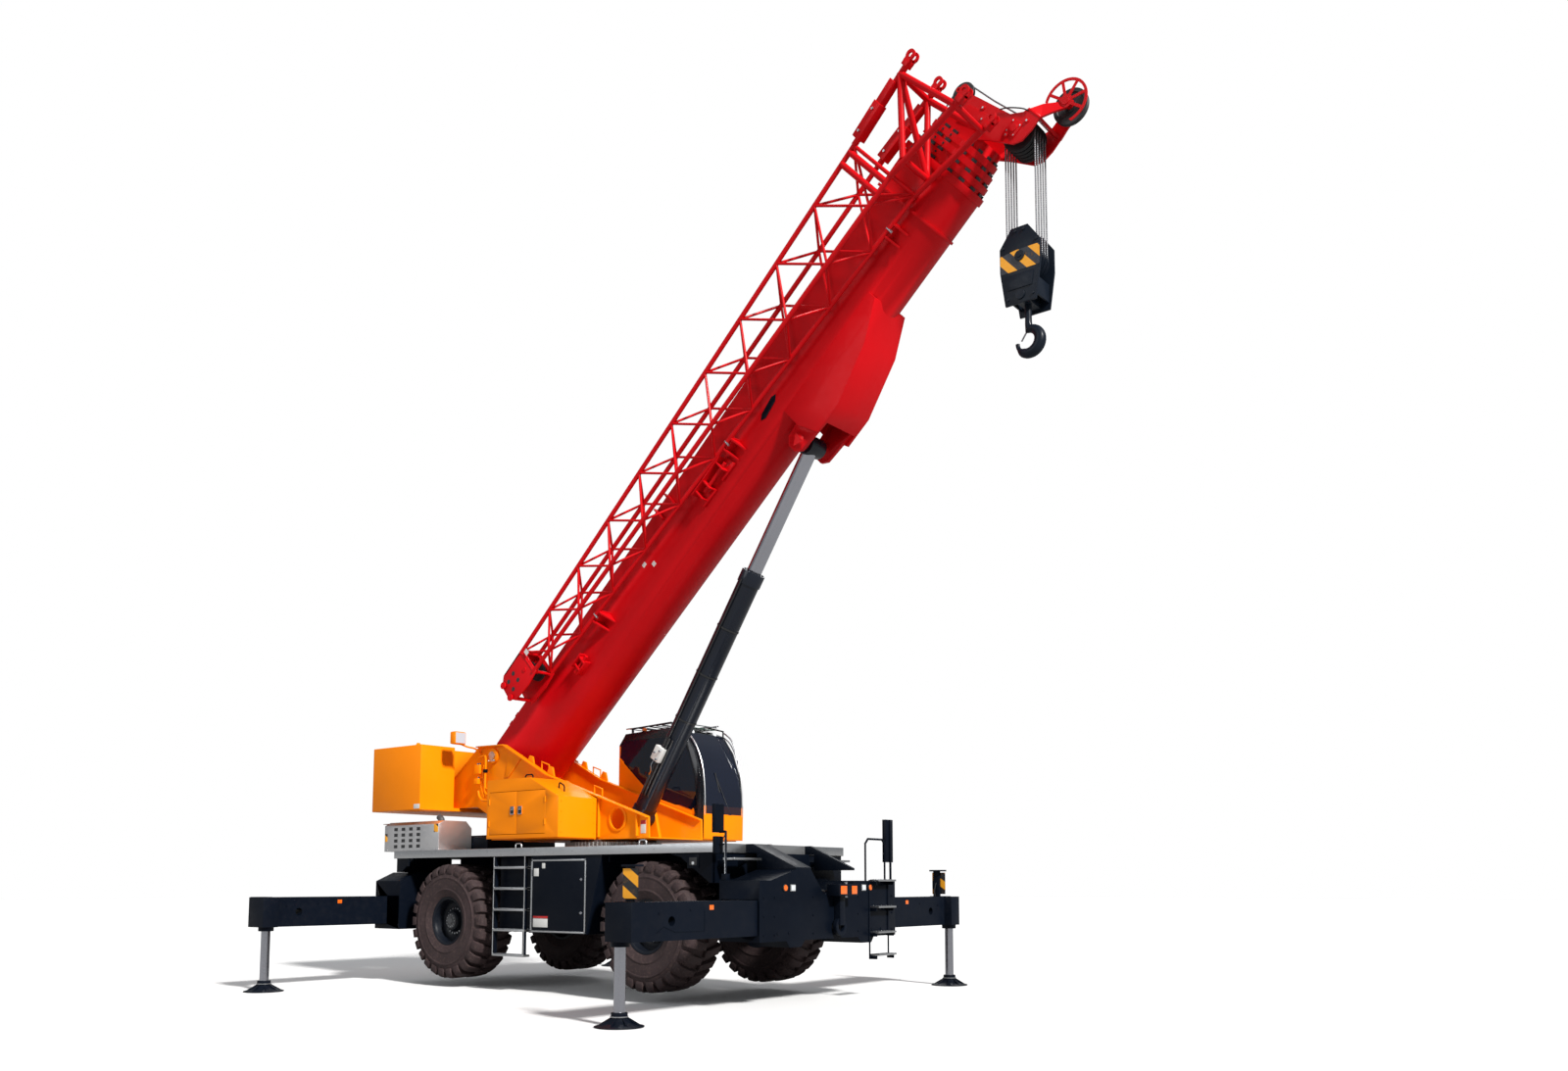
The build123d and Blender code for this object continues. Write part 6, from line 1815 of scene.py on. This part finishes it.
class CRANE_OT_ram(bpy.types.Operator):
    """Luffing cylinder: gland, pipes, valve box and the rod's eye"""

    bl_idname = "crane.ram"
    bl_label = "Luffing Cylinder"

    def execute(self, context):
        copy_node("Cylinder Barrel", "ram_barrel", "barrel_black", 0.004)
        copy_node("Cylinder Piston", "ram_piston", "steel")

        def pick(centre, way):
            along = (centre - RAM_FOOT).dot((ROD_EYE - RAM_FOOT).normalized())
            return 1 if along > (ROD_EYE - RAM_FOOT).length - 0.19 else 0

        copy_node("Cylinder Rod", "ram_rod", ("chrome", "barrel_black"), 0.003, pick=pick)
        ram_fittings()
        return {"FINISHED"}


# ---- jib
JIB_START, JIB_BAY, JIB_BAYS = 1.95, 0.92, 10
JIB_MIDDLE = -0.85
JIB_FACES = (((True, True), (True, False)), ((False, False), (True, False)),
    ((False, False), (False, True)), ((True, True), (False, True)))


def jib_corner(s, outer, upper):
    """A point on one chord, in boom coordinates."""
    share = (s - JIB_START) / (JIB_BAY * JIB_BAYS)
    half = 0.18 + 0.12 * share
    low = -0.05 - 0.4 * share
    return (s, JIB_MIDDLE - half if outer else JIB_MIDDLE + half, 0.42 if upper else low)


def jib_lattice(chord, brace):
    end = JIB_START + JIB_BAY * JIB_BAYS
    corners = ((True, True), (True, False), (False, False), (False, True))
    chords = [(at_boom(*jib_corner(JIB_START - 0.03, *c)), at_boom(*jib_corner(end + 0.03, *c)))
        for c in corners]
    obj = laced("Jib Chords", chords, chord, "red", "boom_base", 20)
    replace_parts(obj, "jib")
    braces = []
    for first, second in JIB_FACES:
        for k in range(JIB_BAYS):
            a, b = JIB_START + JIB_BAY * k, JIB_START + JIB_BAY * (k + 1)
            middle_point = at_boom(*jib_corner((a + b) / 2, *second))
            braces.append((at_boom(*jib_corner(a, *first)), middle_point))
            braces.append((middle_point, at_boom(*jib_corner(b, *first))))
    laced("Jib Braces", braces, brace, "red", "boom_base", 12)
    ends = []
    for s in (JIB_START, end):
        for k in range(4):
            ends.append((at_boom(*jib_corner(s, *corners[k])),
                at_boom(*jib_corner(s, *corners[(k + 1) % 4]))))
    laced("Jib End Frames", ends, chord * 0.75, "red", "boom_base", 16)


def jib_fork():
    """The fork past the last bay, its struts and its eyes."""
    end = JIB_START + JIB_BAY * JIB_BAYS
    tip, top, low, half, r = 12.4, 0.335, -0.8, 0.35, 0.044
    tubes, struts = [], Piece("Jib Fork").use("red")
    for side in (-1, 1):
        outer = side < 0
        y = JIB_MIDDLE - 0.05 + side * half
        apex, foot = (tip - 0.22, y, top + 0.015), (tip - 0.13, y, low + 0.035)
        tubes += [(jib_corner(end, outer, True), (tip, y, top)),
            (jib_corner(end, outer, False), (tip, y, low)), (apex, foot),
            (apex, jib_corner(end + 0.25, outer, False))]
        jib_strut(struts, jib_corner(end + 0.09, outer, True), (tip - 0.33, y, top + 0.02))
        for s, n in ((tip + 0.03, top), (tip + 0.06, low)):
            struts.use("red").block(s - 0.15, s - 0.06, y - 0.062, y + 0.062, n - 0.05, n + 0.05, at_boom,
                0.008)
            for face in (-1, 1):
                struts.ring(0.032, 0.071, -0.014, 0.014, at_boom(s, y + face * 0.046, n), (0, 1, 0), 28)
                struts.block(s - 0.1, s - 0.03, y + face * 0.032, y + face * 0.058, n - 0.055, n + 0.055,
                    at_boom, 0.004)
    y0, y1 = JIB_MIDDLE - 0.05 - half, JIB_MIDDLE - 0.05 + half
    tubes += [((tip - 0.22, y0, top + 0.015), (tip - 0.22, y1, top + 0.015)),
        ((tip - 0.13, y0, low + 0.035), (tip - 0.13, y1, low + 0.035)),
        (jib_corner(end + 0.25, True, False), jib_corner(end + 0.25, False, False)),
        ((tip - 0.22, y0, top), jib_corner(end + 0.25, False, False))]
    for s in (end - 0.28, end - 0.1):
        tubes.append((jib_corner(s, True, True), jib_corner(s, True, False)))
    runs = [(at_boom(*a), at_boom(*b)) for a, b in tubes]
    laced("Jib Fork Tubes", runs, r, "red", "boom_base", 20)
    struts.make("boom_base", "boom_red")


def jib_strut(piece, a, b):
    """A square telescoping strut with its pins."""
    start, stop = at_boom(*a), at_boom(*b)
    way = (stop - start).normalized()
    side = Vector((0, 1, 0))
    up = way.cross(side).normalized()
    side = up.cross(way).normalized()
    for wide, first, last in ((0.072, 0.0, 0.62), (0.056, 0.55, 1.0)):
        base = [start + (stop - start) * first + side * i * wide + up * j * wide for i,
            j in ((-1, -1), (1, -1), (1, 1), (-1, 1))]
        piece.use("red").prism(base, (stop - start) * (last - first), 0.008)
    for share in (0.12, 0.5):
        centre = start + (stop - start) * share
        piece.use("steel").tube([centre - side * 0.095, centre + side * 0.095], 0.018, 16)


def jib_foot():
    """The plated foot box with its pins and guide rollers, and thin black discs painted on its side plates as
    the shade inside their holes.
    """
    outline = ((1.25, 0.33), (1.4, 0.45), (2.0, 0.45), (2.0, -0.1), (1.7, -0.13), (1.33, -0.09),
        (1.23, 0.06))
    foot = Piece("Jib Foot").use("red")
    painted_hole_shade = ((1.42, 0.27), (1.42, 0.09), (1.59, 0.29), (1.6, 0.12))
    for y in (-1.05, -0.675):
        foot.plate_y(outline, y, y + 0.025, at_boom, 0.004)
    # Black discs at the side plates' holes: painted shade for the dark inside of each hole
    for s, n in painted_hole_shade:
        for y in (-1.0515, -0.6485):
            foot.use("plastic").disc(at_boom(s, y if y < -1 else y - 0.002, n), (0, -1 if y < -1 else 1, 0),
                0.038, 0.0015, 24)
    foot.use("red").block(1.43, 2.0, -1.05, -0.65, 0.42, 0.45, at_boom, 0.004)
    for s, n in ((1.3, 0.3), (1.29, 0.02)):
        foot.tube([at_boom(s, -1.09, n), at_boom(s, -0.62, n)], 0.032, 20)
        for y in (-1.075, -0.625):
            foot.ring(0.033, 0.058, -0.012, 0.012, at_boom(s, y, n), (0, 1, 0), 24)
    foot.tube([at_boom(1.82, -1.06, 0.13), at_boom(1.82, -0.64, 0.13)], 0.038, 20)
    foot.use("plastic")
    for y in (-0.95, -0.75):
        foot.spin([(0.04, -0.02), (0.155, -0.02), (0.155, -0.014), (0.13, 0.0), (0.155, 0.014),
            (0.155, 0.02), (0.04, 0.02)], at_boom(1.82, y, 0.13), (0, 1, 0), 40)
    foot.use("white").block(2.02, 2.1, -1.0755, -1.074, 0.24, 0.34, at_boom, 0.0)
    foot.make("boom_base", "boom_red")


def jib_stowage():
    """Brackets that carry the jib on the boom's side."""
    hold = Piece("Jib Stowage").use("red")
    for s in (3.3, 6.85, 10.6):
        _, y, low = jib_corner(s, False, False)
        hold.block(s - 0.13, s + 0.13, -0.4505, y + 0.01, low - 0.06, low - 0.042, at_boom, 0.003)
        for x in (s - 0.11, s + 0.08):
            outline = ((-0.4505, low - 0.26), (-0.4505, low - 0.045), (y - 0.03, low - 0.045),
                (y - 0.03, low - 0.08))
            hold.prism([at_boom(x, a, b) for a, b in outline], at_boom(x + 0.03, 0, 0) - at_boom(x, 0, 0),
                0.003)
        hold.use("steel").tube([at_boom(s, y - 0.02, low - 0.09), at_boom(s, y - 0.02, low + 0.02)], 0.018,
            14)
        hold.use("red")
    hold.make("boom_base", "boom_red")


class CRANE_OT_jib(bpy.types.Operator):
    """Stowed lattice jib: round chords and braces, fork with its eyes, foot box and stowage brackets"""

    bl_idname = "crane.jib"
    bl_label = "Jib"

    def execute(self, context):
        sizes = context.scene.crane_sizes
        jib_lattice(sizes.chord, sizes.brace)
        jib_fork()
        jib_foot()
        jib_stowage()
        return {"FINISHED"}


# ---- boom head, ropes and hook
HEAD_AXIS = (12.54, -0.99)
NOSE_AXIS = (13.16, -1.3)


def head_sheave(piece, centre, r, wide, groove=SHEAVE_GROOVE):
    """One grooved sheave with its web, holes' rims and bearing, about Y."""
    piece.use("plastic")
    half = wide / 2
    profile = [(0.0465, -half), (0.075, -half), (0.08, -half * 0.45), (r - 0.06, -half * 0.45),
        (r - 0.05, -half), (r - 0.003, -half), (r, -half * 0.8), (r - groove, -0.006),
        (r - groove - 0.004, 0.0), (r - groove, 0.006), (r, half * 0.8), (r - 0.003, half),
        (r - 0.05, half), (r - 0.06, half * 0.45), (0.08, half * 0.45), (0.075, half), (0.0465, half)]
    piece.spin(profile, centre, (0, 1, 0), 72)


def head_stack():
    stack = Piece("Main Sheaves")
    for k in range(SHEAVES):
        head_sheave(stack, HEAD + Vector((0, SHEAVE_PITCH * (k - SHEAVES // 2), 0)), SHEAVE_RADIUS, 0.05)
    obj = stack.make("main_sheaves", "cast_iron")
    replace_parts(obj, "main_sheaves")


def head_single():
    pair = Piece("Head Sheaves")
    head_sheave(pair, at_boom(HEAD_AXIS[0], 0, 0.37), 0.17, 0.05)
    head_sheave(pair, at_boom(NOSE_AXIS[0], 0, NOSE_AXIS[1]), 0.24, 0.07)
    obj = pair.make("boom_section_4", "rim_black")
    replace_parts(obj, "head_sheaves")


def head_trim():
    """Bosses, keepers and bolts on the head's cheeks, and the nose's hub."""
    trim = Piece("Head Fittings").use("red")
    half = 0.322
    for side in (-1, 1):
        y = side * (half + 0.0002)
        trim.use("red").block(HEAD_AXIS[0] - 0.095, HEAD_AXIS[0] + 0.095, y, y + side * 0.012, -1.085,
            -0.895, at_boom, 0.004)
        trim.disc(at_boom(HEAD_AXIS[0], y + side * 0.012, -0.99), (0, side, 0), 0.05, 0.012, 32)
        for s, n in ((12.7, -1.1), (12.42, -0.95), (12.4, -0.45), (12.52, -0.35)):
            trim.disc(at_boom(s, y, n), (0, side, 0), 0.032, 0.014, 24)
            trim.use("steel").disc(at_boom(s, y + side * 0.0141, n), (0, side, 0), 0.014, 0.006, 6)
            trim.use("red")
        trim.plate_y(((12.2, -0.1), (12.45, -0.1), (12.5, -0.55), (12.3, -0.55)), y, y + side * 0.008,
            at_boom)
        trim.use("steel")
        for a in (0, 1, 2, 3):
            angle = pi * (a + 0.5) / 2
            trim.disc(at_boom(HEAD_AXIS[0] + 0.1 * cos(angle), y + side * 0.0125, -0.99 + 0.1 * sin(angle)),
                (0, side, 0), 0.011, 0.008, 6)
    trim.use("red")
    hub = at_boom(NOSE_AXIS[0], -0.171, NOSE_AXIS[1])
    trim.disc(hub, (0, -1, 0), 0.052, 0.012, 32)
    for y in (-0.05, 0.05):
        trim.ring(0.018, 0.036, -0.01, 0.01, at_boom(12.55, y, 0.455), (0, 1, 0), 24)
    trim.use("hose").tube(curve_points(on(at_boom, (12.62, -0.34, -0.62), (12.7, -0.345, -0.74),
        (12.78, -0.34, -0.92), (12.8, -0.335, -1.02)), 6), 0.009, 8)
    trim.make("boom_section_4", "boom_red")


class CRANE_OT_head(bpy.types.Operator):
    """Head sheaves with their grooves and hubs, pins, keepers and the head's bolts"""

    bl_idname = "crane.head"
    bl_label = "Boom Head"

    def execute(self, context):
        head_stack()
        head_single()
        head_trim()
        return {"FINISHED"}


def ropes_along(r):
    """The rope over the top sheave and down round the head's rear."""
    top = Piece("Boom Top Rope").use("rope")
    over = [(0.0, 3.0, 0.345 + 0.038), (0.0, 9.0, 0.345 + 0.038), (0.0, 12.45, 0.37 + 0.15)]
    points = [at_boom(s, y, n) for y, s, n in over]
    arc_way = [at_boom(12.54 + 0.149 * sin(a), 0, 0.37 + 0.149 * cos(a)) for a in (0.1, 0.5, 0.9, 1.3)]
    top.tube(points + arc_way, r, 10)
    tail = on(at_boom, (12.54 + 0.149 * sin(1.4), 0, 0.37 + 0.149 * cos(1.4)), (12.7, 0, -0.15),
        (12.74, 0, -0.7))
    top.tube(tail, r, 10)
    top.make("boom_section_4", "rope_steel")


class CRANE_OT_ropes(bpy.types.Operator):
    """Hoist rope: falls between the sheaves and its run along the boom's top from the winch"""

    bl_idname = "crane.ropes"
    bl_label = "Ropes"

    def execute(self, context):
        r = context.scene.crane_sizes.rope
        runs = []
        reach = SHEAVE_RADIUS - SHEAVE_GROOVE + 0.0113
        lo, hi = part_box("hoist_ropes")
        for k in range(SHEAVES):
            y = SHEAVE_PITCH * (k - SHEAVES // 2)
            for side in (-1, 1):
                x = HEAD.x + side * reach
                runs.append(((x, y, lo[2]), (x, y, hi[2])))
        mesh = bpy.data.meshes.new("Hoist Falls")
        mesh.from_pydata([p for run in runs for p in run], [(2 * i, 2 * i + 1) for i in range(len(runs))],
            [])
        falls = grow("Hoist Falls", mesh, "lace", {"Radius": r, "Sides": 10, "Finish": "rope"},
            "hook_block")
        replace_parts(falls, "hoist_ropes")
        ropes_along(r)
        return {"FINISHED"}


def hook_forging():
    """The forged hook: a turned stem that swells into the bowl and thins to its point."""
    lo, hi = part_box("hook")
    x, bowl, top = HEAD.x, lo[2] + 0.227, hi[2]
    forging = Piece("Hook").use("hook_black")
    forging.disc(Vector((x, 0, top - 0.06)), (0, 0, 1), 0.075, 0.06, 32)
    forging.tube([Vector((x, 0, top - 0.06)), Vector((x, 0, bowl + 0.3))], 0.045, 24)
    bend, swell = 0.163, 0.08
    route = [Vector((x, 0, bowl + 0.3)), Vector((x, 0, bowl + 0.24))]
    radii = [0.045, 0.047]
    for k in range(29):
        share = k / 28
        a = radians(88 - 266 * share)
        route.append(Vector((x + bend * cos(a), 0, bowl + bend * sin(a))))
        radii.append(max(0.028, 0.05 + (swell - 0.05) * sin(pi * min(1.0, share * 1.15)) - 0.045 * max(0.0,
            share - 0.8) / 0.2))
    forging.tube(route, radii, 20)
    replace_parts(forging.make("hook", "hook_black", 60), "hook")


def hook_latch():
    """The hook's safety latch and its nut."""
    lo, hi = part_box("hook")
    low = lo[2]
    part = Piece("Hook Latch").use("steel")
    x = HEAD.x
    bowl = low + 0.227
    part.tube([Vector((x - 0.105, 0.0, bowl + 0.02)), Vector((x + 0.02, 0.0, bowl + 0.2))], 0.012, 10)
    part.disc(Vector((x + 0.02, -0.03, bowl + 0.2)), (0, 1, 0), 0.024, 0.06, 20)
    part.make("hook", "cast_iron")
    ring = Piece("Hook Nut").use("steel")
    ring.ring(0.046, 0.073, 0.0, 0.03, Vector((x, 0, hi[2] - 0.095)), (0, 0, 1), 6, smooth=False)
    ring.make("hook", "cast_iron")


class CRANE_OT_hook(bpy.types.Operator):
    """Hook block with its stripes, sheaves and bolts, and the hook with its latch"""

    bl_idname = "crane.hook"
    bl_label = "Hook Block"

    def execute(self, context):
        copy_node("Hook Block", "hook_block", "hook_black", 0.004)
        hook_forging()
        lo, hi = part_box("hook_block")
        top, x = hi[2], (lo[0] + hi[0]) / 2
        block = Piece("Hook Block Fittings")

        def at(a, y, c):
            return Vector((x + a, y, top - c))

        for side in (-1, 1):
            y = side * 0.2202
            block.use("hook_stripe")
            outline = ((-0.283, 0.34), (-0.06, 0.31), (0.283, 0.31), (0.283, 0.555), (0.275, 0.59),
                (-0.275, 0.59), (-0.283, 0.555))
            block.plate_y(outline, y, y + side * 0.002, at, 0.0)
            block.use("hook_black")
            for a, c in ((-0.06, 0.05), (0.06, 0.05), (-0.24, 0.24), (0.24, 0.24), (-0.18, 0.96),
                    (0.18, 0.96)):
                block.disc(at(a, y, c), (0, side, 0), 0.02, 0.014, 6)
            block.disc(at(0, y + side * 0.002, 0.4), (0, side, 0), 0.07, 0.016, 36)
            block.disc(at(0, y + side * 0.018, 0.4), (0, side, 0), 0.03, 0.01, 6)
            block.disc(at(0, y, 0.93), (0, side, 0), 0.065, 0.02, 36)
            block.plate_y(((-0.2, 0.64), (0.2, 0.64), (0.17, 0.84), (-0.17, 0.84)), y, y + side * 0.012, at)
        block.use("plastic")
        for k in range(SHEAVES):
            y = SHEAVE_PITCH * (k - SHEAVES // 2)
            block.ring(0.05, 0.17, -0.012, 0.012, at(0, y, 0.4), (0, 1, 0), 40)
        block.use("hook_black")
        for side in (-1, 1):
            block.block(0.2 * side - 0.012, 0.2 * side + 0.012, -0.19, 0.19, 0.7, 0.95, at)
        block.make("hook_block", "hook_black")
        hook_latch()
        return {"FINISHED"}


MAKERS = (CRANE_OT_stage, CRANE_OT_finishes, CRANE_OT_tyres, CRANE_OT_rims, CRANE_OT_outriggers,
    CRANE_OT_deck, CRANE_OT_lockers, CRANE_OT_front, CRANE_OT_exhaust, CRANE_OT_upper, CRANE_OT_cabinet,
    CRANE_OT_winch, CRANE_OT_cab, CRANE_OT_boom, CRANE_OT_ram, CRANE_OT_jib, CRANE_OT_head, CRANE_OT_ropes,
    CRANE_OT_hook)


class CRANE_PT_panel(bpy.types.Panel):
    """Lists the crane's makers in the sidebar"""

    bl_idname = "CRANE_PT_panel"
    bl_label = "Mobile Crane"
    bl_space_type = "VIEW_3D"
    bl_region_type = "UI"
    bl_category = "Crane"

    def draw(self, context):
        layout = self.layout
        for group in (context.scene.crane_colours, context.scene.crane_sizes):
            for name in group.__annotations__:
                layout.prop(group, name)
        for operator in MAKERS:
            layout.operator(operator.bl_idname)


GROUPS = (CraneColours, CraneSizes)


def register():
    for kind in (*GROUPS, *MAKERS, CRANE_PT_panel):
        bpy.utils.register_class(kind)
    bpy.types.Scene.crane_colours = PointerProperty(type=CraneColours)
    bpy.types.Scene.crane_sizes = PointerProperty(type=CraneSizes)


def unregister():
    del bpy.types.Scene.crane_sizes
    del bpy.types.Scene.crane_colours
    for kind in reversed((*GROUPS, *MAKERS, CRANE_PT_panel)):
        bpy.utils.unregister_class(kind)


def make_crane():
    """Runs every maker in order."""
    register()
    for operator in MAKERS:
        group, name = operator.bl_idname.split(".")
        getattr(getattr(bpy.ops, group), name)()


if __name__ == "__main__":
    make_crane()
